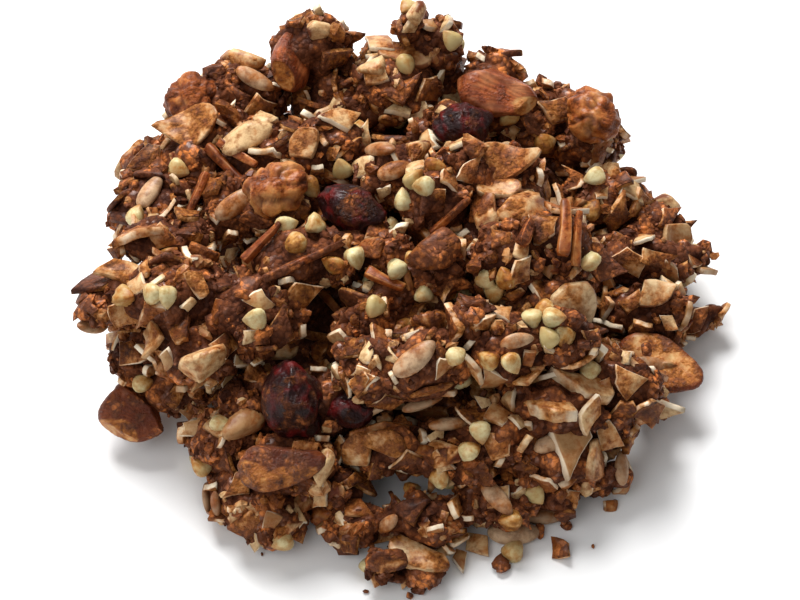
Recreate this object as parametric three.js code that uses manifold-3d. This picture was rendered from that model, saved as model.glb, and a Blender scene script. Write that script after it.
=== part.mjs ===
// A loose heap of chocolate granola clusters, about 12 cm across, lying as it was poured.
// Rough clusters of crumb and syrup carry buckwheat groats, sunflower kernels, sliced almonds,
// broken nut and coconut chips and slivers, with dried cranberries and almonds among them.
//
// Units are millimetres. +Z is up, the heap stands on Z = 0 and its front faces -Y.
import * as THREE from "three";
import { mergeVertices } from "three/addons/utils/BufferGeometryUtils.js";
import Module from "manifold-3d";

// ---- Driving dimensions -------------------------------------------------------------------

const GROAT = { length: 4.6, width: 3.7 }; // hulled buckwheat
const KERNEL = { width: 0.5, thick: 0.32 }; // sunflower, as shares of its length
const SLICE = { width: 0.62, thick: 1.1 }; // sliced almond: share of length, and millimetres
const CHIP = { width: 0.72, thick: 1.3 };
const SLIVER = { width: 2.1, thick: 1.7 };
const CHUNK = { width: 0.8, thick: 0.7 };

const CORE = { at: [1, 7, 0], size: [86, 74, 44], turn: 0 }; // the packed middle that the clusters lie on
const CORNER_OUT = 1.12; // a corner of a cluster, as a share of the ball that it stands for
const SWELL = { broad: 0.16, narrow: 0.1 }; // how much a cluster's surface rises and dips
const FIT_GAP = 0.35; // clearance round a berry or an almond in its hollow

// Clusters that no picture from the front shows: two arcs of them, at the foot of the back and above it.
const BACK_FOOT = { clusters: 8, from: 30, to: 158, out: [43, 44], height: 7, size: [21, 15, 14] };
const BACK_SLOPE = { clusters: 3, from: 80, to: 140, out: [34, 43], height: 16, size: [19, 14, 13] };

// Pieces on the sides and back are spread from the left front round the back to the right front.
// The sweep is in degrees, with 0 at the right, and the rise is given by its lowest and highest sines.
const ROUND = { from: -35, sweep: 250, rise: [0.03, 0.88], middle: [0, 8, 6], out: 200, lowest: 2 };

// The middle of the heap's outline on the table, which becomes the origin.
const MIDDLE = [2.1, -1.4];

// Where the heap is seen from: the line of sight through any point of an 800 x 600 picture.
const VIEW = { elevation: 54, distance: 600, pixels: 3120, aim: [0, 0, 7.8], middle: [400, 300] };

const GOLDEN_TURN = 137.508;
const RAD = Math.PI / 180;

// ---- The clusters -------------------------------------------------------------------------

// The middle of each cluster, its length, width and height, and its turn about the upright in degrees.
const CLUSTERS = [
  // the large cluster on the left, lying over its neighbours
  { at: [-52, -11, 23], size: [17, 13, 9], turn: 20 },
  { at: [-41, -12, 26], size: [22, 16, 13], turn: 0 },
  { at: [-38, -20, 21], size: [19, 15, 13], turn: -15 },
  { at: [-27, -16, 26], size: [18, 17, 14], turn: 10 },
  { at: [-44, 1, 26], size: [20, 10, 9], turn: 10 },
  { at: [-50, -16, 13], size: [15, 12, 11], turn: 60 },
  { at: [-37, -13, 11], size: [21, 20, 20], turn: 0 },
  // behind it, towards the left and back
  { at: [-48, 14, 19], size: [17, 15, 14], turn: 40 },
  { at: [-37, 26, 21], size: [19, 15, 13], turn: 30 },
  { at: [-32, 40, 20], size: [21, 15, 15], turn: 20 },
  { at: [-41, 38, 18], size: [15, 12, 13], turn: 50 },
  { at: [-49, 26, 17], size: [15, 13, 13], turn: 0 },
  { at: [-17, 46, 27], size: [17, 13, 19], turn: 0 },
  { at: [-10, 38, 22], size: [20, 14, 12], turn: -10 },
  { at: [-1, 39, 25], size: [19, 14, 13], turn: 15 },
  { at: [6, 46, 26], size: [12, 12, 18], turn: 0 },
  { at: [-26, 21, 25], size: [18, 15, 12], turn: -20 },
  { at: [-15, 21, 28], size: [19, 14, 13], turn: 25 },
  { at: [-30, 10, 25], size: [18, 13, 11], turn: 40 },
  // the top of the heap
  { at: [-22, 6, 29], size: [14, 13, 12], turn: 0 },
  { at: [-20, -7, 30], size: [16, 12, 12], turn: 35 },
  { at: [-12, -6, 30], size: [17, 11, 10], turn: 15 },
  { at: [-10, 2, 25], size: [18, 14, 12], turn: 0 },
  { at: [-1, 14, 29], size: [14, 13, 11], turn: 60 },
  { at: [7, 6, 32], size: [15, 14, 14], turn: 0 },
  { at: [12, 11, 31], size: [18, 13, 14], turn: 30 },
  { at: [20, 13, 28], size: [16, 14, 14], turn: -20 },
  { at: [18, 3, 28], size: [16, 14, 13], turn: 45 },
  // the back on the right, under and beside the whole almond
  { at: [10, 28, 24], size: [15, 13, 11], turn: 10 },
  { at: [22, 36, 19], size: [22, 14, 13], turn: -20 },
  { at: [18, 42, 23], size: [12, 10, 12], turn: 0 },
  { at: [29, 37, 18], size: [16, 13, 13], turn: 20 },
  { at: [38, 34, 16], size: [14, 15, 18], turn: -30 },
  // the low right side
  { at: [39, 18, 14], size: [17, 14, 14], turn: 15 },
  { at: [49, 13, 12], size: [18, 13, 12], turn: 30 },
  { at: [45, 5, 13], size: [23, 12, 10], turn: 0 },
  { at: [47, -4, 10], size: [18, 14, 12], turn: -10 },
  { at: [46, -12, 6], size: [17, 13, 10], turn: 10 },
  { at: [57.5, -3, 5], size: [13, 6, 7], turn: 20 },
  // the tall cluster right of the middle
  { at: [20, -8, 31], size: [14, 16, 14], turn: 20 },
  { at: [29, -4, 29], size: [15, 15, 17], turn: 0 },
  { at: [27, -13, 25], size: [17, 12, 13], turn: 10 },
  // nuggets in the middle
  { at: [7, -9, 31], size: [11, 9, 12], turn: 30 },
  { at: [-2, -6, 30], size: [12, 9, 10], turn: -20 },
  { at: [-3, -13, 26], size: [13, 11, 10], turn: 0 },
  { at: [-6, -19, 26], size: [13, 10, 10], turn: 30 },
  { at: [13, -21, 29], size: [9, 9, 13], turn: 0 },
  // the two clusters in front of the middle
  { at: [-5, -28, 25], size: [14, 15, 14], turn: 0 },
  { at: [4, -27, 26], size: [18, 15, 14], turn: 20 },
  { at: [20, -24, 26], size: [17, 14, 13], turn: 0 },
  { at: [29, -22, 26], size: [17, 13, 13], turn: -15 },
  // the right of the front
  { at: [39, -25, 17], size: [20, 13, 13], turn: -25 },
  { at: [29, -31, 17], size: [20, 14, 12], turn: -10 },
  { at: [38, -30, 11], size: [17, 13, 12], turn: 20 },
  { at: [29, -38, 10], size: [19, 14, 12], turn: 0 },
  // the middle of the front
  { at: [17, -35, 14], size: [15, 14, 12], turn: 40 },
  { at: [10, -39, 12], size: [17, 12, 11], turn: 0 },
  { at: [-2, -37, 12], size: [20, 11, 10], turn: -5 },
  { at: [-14, -30, 16], size: [16, 13, 12], turn: 0 },
  { at: [-27, -28, 12], size: [17, 14, 12], turn: 30 },
  // the left of the front
  { at: [-44, -22, 9], size: [17, 14, 12], turn: 0 },
  { at: [-32, -34, 10], size: [17, 13, 12], turn: -20 },
  { at: [-20, -39, 11], size: [20, 12, 10], turn: 10 },
  { at: [-28, -44, 6], size: [19, 13, 11], turn: -30 },
  { at: [-23, -50, 4], size: [17, 9, 7], turn: 5 },
  { at: [-13, -43, 7], size: [15, 11, 10], turn: 20 },
  { at: [-8, -50, 5], size: [15, 11, 10], turn: 0 },
  { at: [3, -48, 6], size: [20, 12, 11], turn: -10 },
  { at: [17, -45, 6], size: [17, 12, 10], turn: 0 },
  { at: [27, -45, 5], size: [16, 11, 9], turn: -25 },
  // small pieces along the front edge
  { at: [38, -41, 4], size: [12, 8, 7], turn: 30 },
  { at: [22, -51, 2], size: [11, 6, 5], turn: 0 },
  { at: [13, -52, 3], size: [11, 9, 6], turn: 0 },
  { at: [4, -56, 3], size: [13, 8, 5], turn: -35 },
  { at: [-3, -57, 3], size: [9, 7, 6], turn: 0 },
];

// ---- Pieces that show from the front, by the point of the picture where each lies -----------

// Hulled buckwheat groats.
const GROATS_SEEN = [
  [130, 297], [153, 293], [167, 298], [254, 318], [143, 380], [296, 243], [333, 264], [355, 259],
  [181, 169], [340, 165], [310, 189], [422, 187], [406, 199], [508, 117], [544, 140], [406, 66],
  [485, 282], [373, 312], [453, 356], [489, 357], [511, 363], [543, 311], [555, 321],
  [549, 336], [480, 434], [439, 480], [281, 540],
];

// Each piece has a length in millimetres, a turn in the picture and a lean about that length, in degrees.
const KERNELS_SEEN = [
  { across: 415, down: 359, length: 9, turn: 40, lean: 0 },
  { across: 236, down: 204, length: 9, turn: 38, lean: 20 },
  { across: 395, down: 171, length: 7, turn: 20, lean: 0 },
  { across: 615, down: 470, length: 7, turn: 70, lean: 0 },
  { across: 541, down: 517, length: 8.5, turn: 0, lean: 10 },
  { across: 450, down: 429, length: 8, turn: 30, lean: 0 },
  { across: 650, down: 364, length: 7, turn: -5, lean: 0 },
  { across: 255, down: 82, length: 8, turn: -25, lean: 10 },
  { across: 381, down: 151, length: 7, turn: -35, lean: 0 },
  { across: 553, down: 443, length: 7, turn: 20, lean: 0 },
  { across: 521, down: 500, length: 7, turn: 60, lean: 0 },
];

const SLICES_SEEN = [
  { across: 131, down: 276, length: 14, turn: 15, lean: 35 },
  { across: 573, down: 305, length: 13, turn: -60, lean: 10 },
  { across: 566, down: 452, length: 12, turn: 75, lean: 0 },
  { across: 546, down: 408, length: 15, turn: -8, lean: -10 },
  { across: 157, down: 414, length: 8, turn: 70, lean: 50 },
  { across: 673, down: 237, length: 9, turn: 10, lean: 0 },
  { across: 652, down: 294, length: 9, turn: 15, lean: 20 },
  { across: 303, down: 147, length: 9, turn: 60, lean: 0 },
  { across: 190, down: 129, length: 13, turn: 5, lean: 20 },
  { across: 404, down: 55, length: 10, turn: -20, lean: 20 },
  { across: 380, down: 431, length: 10, turn: 8, lean: 60 },
  { across: 498, down: 193, length: 9, turn: 5, lean: 15 },
  { across: 215, down: 425, length: 7, turn: -50, lean: 0 },
  { across: 355, down: 455, length: 9, turn: 80, lean: 10 },
];

const CHIPS_SEEN = [
  { across: 152, down: 338, length: 7.5, turn: 70, lean: 0 },
  { across: 244, down: 365, length: 8, turn: -45, lean: 45 },
  { across: 261, down: 303, length: 8, turn: 8, lean: 30 },
  { across: 279, down: 326, length: 8, turn: 80, lean: -20 },
  { across: 224, down: 380, length: 7, turn: -15, lean: 0 },
  { across: 270, down: 240, length: 8, turn: 55, lean: 20 },
  { across: 163, down: 238, length: 8, turn: -15, lean: 20 },
  { across: 345, down: 121, length: 10, turn: 30, lean: 10 },
  { across: 476, down: 365, length: 8, turn: -55, lean: 10 },
  { across: 504, down: 315, length: 7, turn: 75, lean: 20 },
  { across: 572, down: 368, length: 9, turn: 5, lean: 30 },
  { across: 609, down: 438, length: 8, turn: 80, lean: 0 },
  { across: 338, down: 447, length: 7, turn: 80, lean: 20 },
  { across: 668, down: 216, length: 8, turn: 40, lean: 20 },
  { across: 648, down: 406, length: 8, turn: -60, lean: 0 },
  { across: 402, down: 445, length: 10, turn: -5, lean: 10 },
  { across: 495, down: 496, length: 8, turn: -45, lean: 10 },
  { across: 622, down: 262, length: 10, turn: 10, lean: 20 },
  { across: 690, down: 255, length: 8, turn: -20, lean: 0 },
  { across: 434, down: 390, length: 8, turn: 20, lean: 20 },
  { across: 378, down: 75, length: 7, turn: 70, lean: 10 },
];

const SLIVERS_SEEN = [
  { across: 303, down: 260, length: 17, turn: 22, lean: 0 },
  { across: 340, down: 313, length: 10, turn: -50, lean: 0 },
  { across: 231, down: 167, length: 12, turn: -27, lean: 0 },
  { across: 204, down: 200, length: 9, turn: -70, lean: 0 },
  { across: 450, down: 215, length: 9, turn: 47, lean: 0 },
  { across: 565, down: 228, length: 11, turn: 82, lean: 0 },
  { across: 577, down: 238, length: 10, turn: 75, lean: 0 },
];

const CHUNKS_SEEN = [
  { across: 202, down: 362, length: 7.5, turn: 60, lean: 0 },
  { across: 434, down: 254, length: 9, turn: -40, lean: 0 },
  { across: 466, down: 248, length: 5, turn: 20, lean: 0 },
  { across: 241, down: 428, length: 7, turn: 40, lean: 0 },
  { across: 416, down: 151, length: 6, turn: 0, lean: 0 },
  { across: 248, down: 138, length: 7.5, turn: 30, lean: 0 },
  { across: 150, down: 197, length: 6, turn: 80, lean: 0 },
  { across: 320, down: 28, length: 5, turn: 0, lean: 0 },
  { across: 246, down: 64, length: 6, turn: 0, lean: 0 },
  { across: 385, down: 562, length: 6, turn: 0, lean: 0 },
];

// The sides and back carry the same mix, spread evenly: how many of each, and their lengths.
const SPREAD = [
  { kind: "slice", count: 8, length: [10, 14] },
  { kind: "chip", count: 9, length: [7, 10] },
  { kind: "chunk", count: 4, length: [6, 8] },
  { kind: "sliver", count: 3, length: [9, 13] },
  { kind: "groat", count: 7, length: [GROAT.length, GROAT.length] },
];

// ---- Berries and almonds that are pieces of their own -----------------------------------------

const BERRIES = [
  { name: "dried_cranberry_front", at: [-19.8, -32, 20], size: [11.5, 14, 16.5], turn: 15, lean: 0 },
  { name: "dried_cranberry_top", at: [-9, 2.6, 33], size: [13.5, 9, 8.5], turn: -30, lean: 0 },
  { name: "dried_cranberry_back", at: [12, 26.5, 28.5], size: [12, 8.5, 8], turn: 10, lean: 0 },
  { name: "dried_cranberry_low", at: [-9, -32.5, 18.5], size: [9.5, 7, 6.5], turn: 0, lean: 20 },
];

const ALMONDS = [
  { name: "almond_back_right", at: [19, 35, 28], size: [16.5, 10, 6.5], turn: -22, lean: 25 },
  { name: "almond_back_left", at: [-21, 42, 30], size: [14, 9.5, 6], turn: 80, lean: 60 },
  { name: "almond_right", at: [50, -16.5, 9.5], size: [17, 11, 6.5], turn: -25, lean: 15 },
  { name: "almond_left", at: [-50.5, -27, 7.5], size: [14, 11, 6.5], turn: -30, lean: 30 },
  { name: "almond_front", at: [-21.5, -44.5, 18], size: [16, 9, 6.5], turn: 8, lean: 20 },
];

// ---- Colours ---------------------------------------------------------------------------------

const GRANOLA = new THREE.MeshStandardMaterial({ color: 0x7d4c2c, roughness: 0.75, metalness: 0 });
const CRANBERRY = new THREE.MeshStandardMaterial({ color: 0x4a1216, roughness: 0.35, metalness: 0 });
const ALMOND_SKIN = new THREE.MeshStandardMaterial({ color: 0x7e4a2b, roughness: 0.65, metalness: 0 });

// ---- Solids ------------------------------------------------------------------------------------

const wasm = await Module();
wasm.setup();

// A closed geometry as a manifold solid.
function solidOf(geometry) {
  const bare = geometry.clone();
  bare.deleteAttribute("normal");
  bare.deleteAttribute("uv");
  const merged = mergeVertices(bare, 1e-4);
  return new wasm.Manifold(
    new wasm.Mesh({
      numProp: 3,
      vertProperties: new Float32Array(merged.attributes.position.array),
      triVerts: new Uint32Array(merged.index.array),
    }),
  );
}

function geometryOf(solid) {
  const mesh = solid.getMesh();
  const geometry = new THREE.BufferGeometry();
  geometry.setAttribute("position", new THREE.BufferAttribute(new Float32Array(mesh.vertProperties), 3));
  geometry.setIndex(new THREE.BufferAttribute(new Uint32Array(mesh.triVerts), 1));
  geometry.computeVertexNormals();
  return geometry;
}

// The largest body of a solid, so that loose scraps and sealed hollows go.
function largestBody(solid) {
  return solid.decompose().reduce((best, body) => (body.volume() > best.volume() ? body : best));
}

// Moves every vertex of a geometry by a rule.
function reshaped(geometry, rule) {
  const place = geometry.attributes.position;
  const point = new THREE.Vector3();
  for (let i = 0; i < place.count; i += 1) {
    rule(point.fromBufferAttribute(place, i));
    place.setXYZ(i, point.x, point.y, point.z);
  }
  return geometry;
}

// How far a lump swells or dips in a direction: two products of sines, about 1 on average.
function swell(way, seed) {
  const broad = Math.sin(2.9 * way.x + seed) * Math.sin(3.4 * way.y + 1.7 * seed);
  const narrow = Math.sin(5.3 * way.z + 2.9 * seed) * Math.sin(4.1 * way.x - seed);
  return 1 + SWELL.broad * broad + SWELL.narrow * narrow;
}

// ---- Lumps -------------------------------------------------------------------------------------

// A cluster is an ellipsoid: the matrix carries the unit ball to its place.
function lump({ at, size, turn }, seed) {
  const matrix = new THREE.Matrix4().compose(
    new THREE.Vector3(...at),
    new THREE.Quaternion().setFromAxisAngle(new THREE.Vector3(0, 0, 1), turn * RAD),
    new THREE.Vector3(...size).divideScalar(2),
  );
  return { matrix, inverse: matrix.clone().invert(), seed };
}

// Clusters spaced evenly along an arc round the back.
function arcOfClusters(arc) {
  return Array.from({ length: arc.clusters }, (_, i) => {
    const bearing = arc.from + ((arc.to - arc.from) * i) / (arc.clusters - 1);
    const sway = 1 + 0.04 * Math.sin(2.4 * i);
    return {
      at: [
        arc.out[0] * sway * Math.cos(bearing * RAD),
        2 + arc.out[1] * sway * Math.sin(bearing * RAD),
        arc.height + 1.5 * Math.sin(1.9 * i),
      ],
      size: arc.size.map((size, axis) => size * (1 + 0.15 * Math.sin(2.1 * i + axis))),
      turn: bearing + 90 + 25 * Math.sin(3.3 * i),
    };
  });
}

const lumps = [CORE, ...CLUSTERS, ...arcOfClusters(BACK_FOOT), ...arcOfClusters(BACK_SLOPE)].map(lump);

// Flat faces cut inside a ball, so the corners stand out by as much as keeps its volume.
function lumpSolid({ matrix, seed }) {
  const detail = seed === 0 ? 2 : 0;
  const ball = new THREE.IcosahedronGeometry(CORNER_OUT, detail).rotateX(seed).rotateY(2 * seed);
  reshaped(ball, (point) => point.multiplyScalar(swell(point.clone().normalize(), seed)));
  return solidOf(ball.applyMatrix4(matrix));
}

// ---- Places on the lumps -------------------------------------------------------------------------

// Where a straight line first meets the lumps: the point and the outward normal there.
function firstHit(from, way) {
  let nearest = null;
  for (const { inverse } of lumps) {
    const start = from.clone().applyMatrix4(inverse);
    const axes = new THREE.Matrix3().setFromMatrix4(inverse);
    const step = way.clone().applyMatrix3(axes);
    const a = step.lengthSq();
    const b = start.dot(step);
    const inside = b * b - a * (start.lengthSq() - 1);
    if (inside <= 0) continue;
    const reach = (-b - Math.sqrt(inside)) / a;
    if (reach > 0 && (!nearest || reach < nearest.reach)) {
      const unit = start.addScaledVector(step, reach);
      const normal = unit.applyMatrix3(axes.transpose()).normalize();
      nearest = { reach, point: from.clone().addScaledVector(way, reach), normal };
    }
  }
  return nearest;
}

// The camera's axes, looking down on the heap from the front.
const tilt = VIEW.elevation * RAD;
const sight = {
  right: new THREE.Vector3(1, 0, 0),
  up: new THREE.Vector3(0, Math.sin(tilt), Math.cos(tilt)),
  back: new THREE.Vector3(0, -Math.cos(tilt), Math.sin(tilt)),
};
const eye = new THREE.Vector3(...VIEW.aim).addScaledVector(sight.back, VIEW.distance);

// The place seen at a point of the picture, with the direction on the surface that a turn there gives.
function seenAt(across, down, turn) {
  const way = sight.back
    .clone()
    .multiplyScalar(-VIEW.pixels)
    .addScaledVector(sight.right, across - VIEW.middle[0])
    .addScaledVector(sight.up, VIEW.middle[1] - down)
    .normalize();
  const hit = firstHit(eye, way);
  if (!hit) return null;
  const along = sight.right
    .clone()
    .multiplyScalar(Math.cos(turn * RAD))
    .addScaledVector(sight.up, Math.sin(turn * RAD));
  return { ...hit, along };
}

// A place round the sides and back: bearings step by the golden turn, and heights by even steps.
function roundTheBack(i, count) {
  const bearing = (ROUND.from + ((i * GOLDEN_TURN) % ROUND.sweep)) * RAD;
  const rise = Math.asin(ROUND.rise[0] + ((ROUND.rise[1] - ROUND.rise[0]) * (i + 0.5)) / count);
  const out = new THREE.Vector3(
    Math.cos(bearing) * Math.cos(rise),
    Math.sin(bearing) * Math.cos(rise),
    Math.sin(rise),
  );
  const from = new THREE.Vector3(...ROUND.middle).addScaledVector(out, ROUND.out);
  const hit = firstHit(from, out.negate());
  const along = new THREE.Vector3(Math.cos(2.4 * i), Math.sin(2.4 * i), Math.sin(1.3 * i));
  return hit && hit.point.z > ROUND.lowest ? { ...hit, along } : null;
}

// ---- Pieces --------------------------------------------------------------------------------------

// A flat outline drawn out to a thickness, centred on its middle.
function slab(points, thick) {
  const outline = new THREE.Shape(points.map(([x, y]) => new THREE.Vector2(x, y)));
  return new THREE.ExtrudeGeometry(outline, { depth: thick, bevelEnabled: false }).translate(0, 0, -thick / 2);
}

// A closed round shape: radii along its length, with a rule for its cross-section.
function turned(length, radii, sides, rule) {
  const profile = [new THREE.Vector2(0, -length / 2)];
  radii.forEach((radius, i) => {
    profile.push(new THREE.Vector2(radius, length * ((i + 1) / (radii.length + 1) - 0.5)));
  });
  profile.push(new THREE.Vector2(0, length / 2));
  const geometry = new THREE.LatheGeometry(profile, sides);
  return reshaped(geometry, rule).rotateZ(-Math.PI / 2);
}

// A three-sided grain with a rounded base and a blunt tip.
function groat() {
  const wide = GROAT.width / 2;
  return turned(GROAT.length, [wide, 0.8 * wide], 6, (point) => {
    const corner = 1 + 0.16 * Math.cos(3 * Math.atan2(point.z, point.x));
    point.set(point.x * corner, point.y, point.z * corner);
  });
}

// A flat teardrop.
function kernel(length) {
  const wide = (length * KERNEL.width) / 2;
  return turned(length, [wide, 0.8 * wide], 6, (point) => {
    point.z *= KERNEL.thick / KERNEL.width;
  });
}

// An almond's outline, pointed at one end, with one side or end broken off along a straight line.
function slice(length, index) {
  const points = [];
  const sides = 7;
  const breakAt = 0.55 + 0.35 * Math.abs(Math.sin(index));
  for (let i = 0; i < sides; i += 1) {
    const angle = (2 * Math.PI * i) / sides;
    const x = Math.min(Math.cos(angle), breakAt);
    const y = SLICE.width * Math.sin(angle) * (1 - 0.22 * Math.cos(angle));
    points.push([(x * length) / 2, (y * length) / 2]);
  }
  return slab(points, SLICE.thick);
}

// A broken flat piece with five or six straight edges of uneven length.
function chip(length, index) {
  const sides = 5 + (index % 2);
  const points = Array.from({ length: sides }, (_, i) => {
    const angle = (2 * Math.PI * (i + 0.3 * Math.sin(3 * index + 2 * i))) / sides;
    const reach = (length / 2) * (1 + 0.18 * Math.sin(5 * index + 3 * i));
    return [reach * Math.cos(angle), reach * CHIP.width * Math.sin(angle)];
  });
  return slab(points, CHIP.thick);
}

// A stick that narrows towards one end.
function sliver(length) {
  const stick = new THREE.BoxGeometry(length, SLIVER.width, SLIVER.thick);
  return reshaped(stick, (point) => {
    const narrow = 1 - (0.35 * point.x) / length;
    point.y *= narrow;
    point.z *= narrow;
  });
}

// A chopped nut.
function chunk(length, index) {
  const block = new THREE.IcosahedronGeometry(length / 2, 0);
  return reshaped(block, (point) => {
    point.multiplyScalar(swell(point.clone().normalize(), index));
    point.y *= CHUNK.width;
    point.z *= CHUNK.thick;
  });
}

const MAKE = { groat, kernel, slice, chip, sliver, chunk };
const SINK = { groat: -0.9, kernel: -0.4, slice: -0.1, chip: -0.1, sliver: -0.5, chunk: -0.8 };

// Turns a piece onto its place: its length along the surface, its face out, leaning about its length.
function laid(geometry, place, lean, sink) {
  const out = place.normal.clone();
  const along = place.along.clone().addScaledVector(out, -place.along.dot(out)).normalize();
  out.applyAxisAngle(along, lean * RAD);
  const aside = out.clone().cross(along);
  const matrix = new THREE.Matrix4().makeBasis(along, aside, out);
  matrix.setPosition(place.point.clone().addScaledVector(place.normal, -sink));
  return geometry.applyMatrix4(matrix);
}

function seenPieces() {
  const groats = GROATS_SEEN.map(([across, down], i) => ({ across, down, turn: i * GOLDEN_TURN, lean: 0 }));
  const lists = {
    slice: SLICES_SEEN,
    chip: CHIPS_SEEN,
    sliver: SLIVERS_SEEN,
    chunk: CHUNKS_SEEN,
    kernel: KERNELS_SEEN,
    groat: groats,
  };
  return Object.entries(lists).flatMap(([kind, list]) =>
    list.map(({ across, down, length, turn, lean }, i) => {
      const place = seenAt(across, down, turn);
      return place && laid(MAKE[kind](length, i), place, lean, SINK[kind]);
    }),
  );
}

function spreadPieces() {
  const total = SPREAD.reduce((sum, { count }) => sum + count, 0);
  let turn = 0;
  return SPREAD.flatMap(({ kind, count, length: [least, most] }) =>
    Array.from({ length: count }, (_, i) => {
      turn += 1;
      const place = roundTheBack((turn * 83) % total, total);
      const length = least + (most - least) * Math.abs(Math.sin(1.7 * i));
      return place && laid(MAKE[kind](length, i), place, 20 * Math.sin(i), SINK[kind]);
    }),
  );
}

// ---- Berries and almonds ---------------------------------------------------------------------------

function standing({ at, turn, lean }) {
  const spin = new THREE.Quaternion().setFromAxisAngle(new THREE.Vector3(0, 0, 1), turn * RAD);
  const tip = new THREE.Quaternion().setFromAxisAngle(new THREE.Vector3(1, 0, 0), lean * RAD);
  return new THREE.Matrix4().compose(new THREE.Vector3(...at), spin.multiply(tip), new THREE.Vector3(1, 1, 1));
}

// A wrinkled ball: folds that run round it are sines of its height and bearing.
function berry({ size }, grow) {
  const ball = new THREE.IcosahedronGeometry(1, 2);
  return reshaped(ball, (point) => {
    const bearing = Math.atan2(point.y, point.x);
    const fold = 1 + 0.07 * Math.sin(4 * bearing + 3 * point.z) + 0.05 * Math.sin(7 * point.z + 2 * bearing);
    point.multiplyScalar(fold);
    point.set(point.x * (size[0] / 2 + grow), point.y * (size[1] / 2 + grow), point.z * (size[2] / 2 + grow));
  });
}

// A flattened teardrop with its point along +X.
function almond({ size }, grow) {
  const ball = new THREE.IcosahedronGeometry(1, 2);
  return reshaped(ball, (point) => {
    const taper = 1 - 0.28 * point.x;
    point.set(
      point.x * (size[0] / 2 + grow),
      point.y * taper * (size[1] / 2 + grow),
      point.z * taper * (size[2] / 2 + grow),
    );
  });
}

// ---- The heap ----------------------------------------------------------------------------------------

function heapSolid() {
  const parts = lumps.map(lumpSolid);
  const pieces = [...seenPieces(), ...spreadPieces()].filter(Boolean).map(solidOf);
  const floor = solidOf(new THREE.BoxGeometry(400, 400, 200).translate(0, 0, 100));
  const hollows = [
    ...BERRIES.map((one) => solidOf(berry(one, FIT_GAP).applyMatrix4(standing(one)))),
    ...ALMONDS.map((one) => solidOf(almond(one, FIT_GAP).applyMatrix4(standing(one)))),
  ];
  const fused = wasm.Manifold.union([...parts, ...pieces]);
  return largestBody(fused.intersect(floor).subtract(wasm.Manifold.union(hollows)));
}

function named(name, geometry, material) {
  const mesh = new THREE.Mesh(geometry, material);
  mesh.name = name;
  return mesh;
}

const heap = new THREE.Group();
heap.position.set(-MIDDLE[0], -MIDDLE[1], 0);
heap.add(named("granola_heap", geometryOf(heapSolid()), GRANOLA));
for (const one of BERRIES) {
  const mesh = named(one.name, berry(one, 0), CRANBERRY);
  mesh.applyMatrix4(standing(one));
  heap.add(mesh);
}
for (const one of ALMONDS) {
  const mesh = named(one.name, almond(one, 0), ALMOND_SKIN);
  mesh.applyMatrix4(standing(one));
  heap.add(mesh);
}

export default heap;
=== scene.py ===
"""The looks of a loose heap of chocolate granola, lying as it was poured.

Rough clusters of crumb and syrup lie over a packed core. In and on them are hulled buckwheat groats,
sunflower kernels, sliced almonds, flakes, slivers, chopped nuts, dried cranberries and almonds in their
skins. Places and sizes are worked out in millimetres, and go into the meshes in metres.
"""

import math

import bpy
import numpy as np
from mathutils import Matrix, Vector


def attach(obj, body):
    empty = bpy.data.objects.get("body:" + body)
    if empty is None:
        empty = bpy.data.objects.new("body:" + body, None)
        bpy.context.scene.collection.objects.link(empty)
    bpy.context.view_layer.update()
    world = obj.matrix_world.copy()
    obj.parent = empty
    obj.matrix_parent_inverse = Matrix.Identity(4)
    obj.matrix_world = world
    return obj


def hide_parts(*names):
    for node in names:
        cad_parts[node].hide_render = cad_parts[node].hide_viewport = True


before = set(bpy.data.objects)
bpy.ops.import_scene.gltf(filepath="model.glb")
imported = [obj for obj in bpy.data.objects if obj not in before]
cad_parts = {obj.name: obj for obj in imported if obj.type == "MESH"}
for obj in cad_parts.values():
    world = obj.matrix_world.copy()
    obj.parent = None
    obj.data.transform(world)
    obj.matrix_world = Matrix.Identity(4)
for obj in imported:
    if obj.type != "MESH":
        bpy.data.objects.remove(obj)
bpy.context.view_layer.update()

MM = 0.001
FLOOR_GAP = 0.05 * MM
GOLDEN_TURN = 137.508  # degrees; turns by it never repeat
GROAT_LENGTH = 4.5

# ---- Where everything lies -----------------------------------------------------------------------

MIDDLE = np.array([2.1, -1.4, 0.0])  # the middle of the heap's outline, which is the origin

# The line of sight through a point of an 800 x 600 picture of the heap, from the front and above.
ELEVATION = math.radians(54)
EYE_DISTANCE = 600.0
FOCAL_PIXELS = 3120.0
PICTURE_WIDTH = 800
PICTURE_MIDDLE = (400.0, 300.0)
AIM = np.array([0.0, 0.0, 7.8])
RIGHT = np.array([1.0, 0.0, 0.0])
UP = np.array([0.0, math.sin(ELEVATION), math.cos(ELEVATION)])
BACK = np.array([0.0, -math.cos(ELEVATION), math.sin(ELEVATION)])
EYE = AIM + EYE_DISTANCE * BACK

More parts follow.
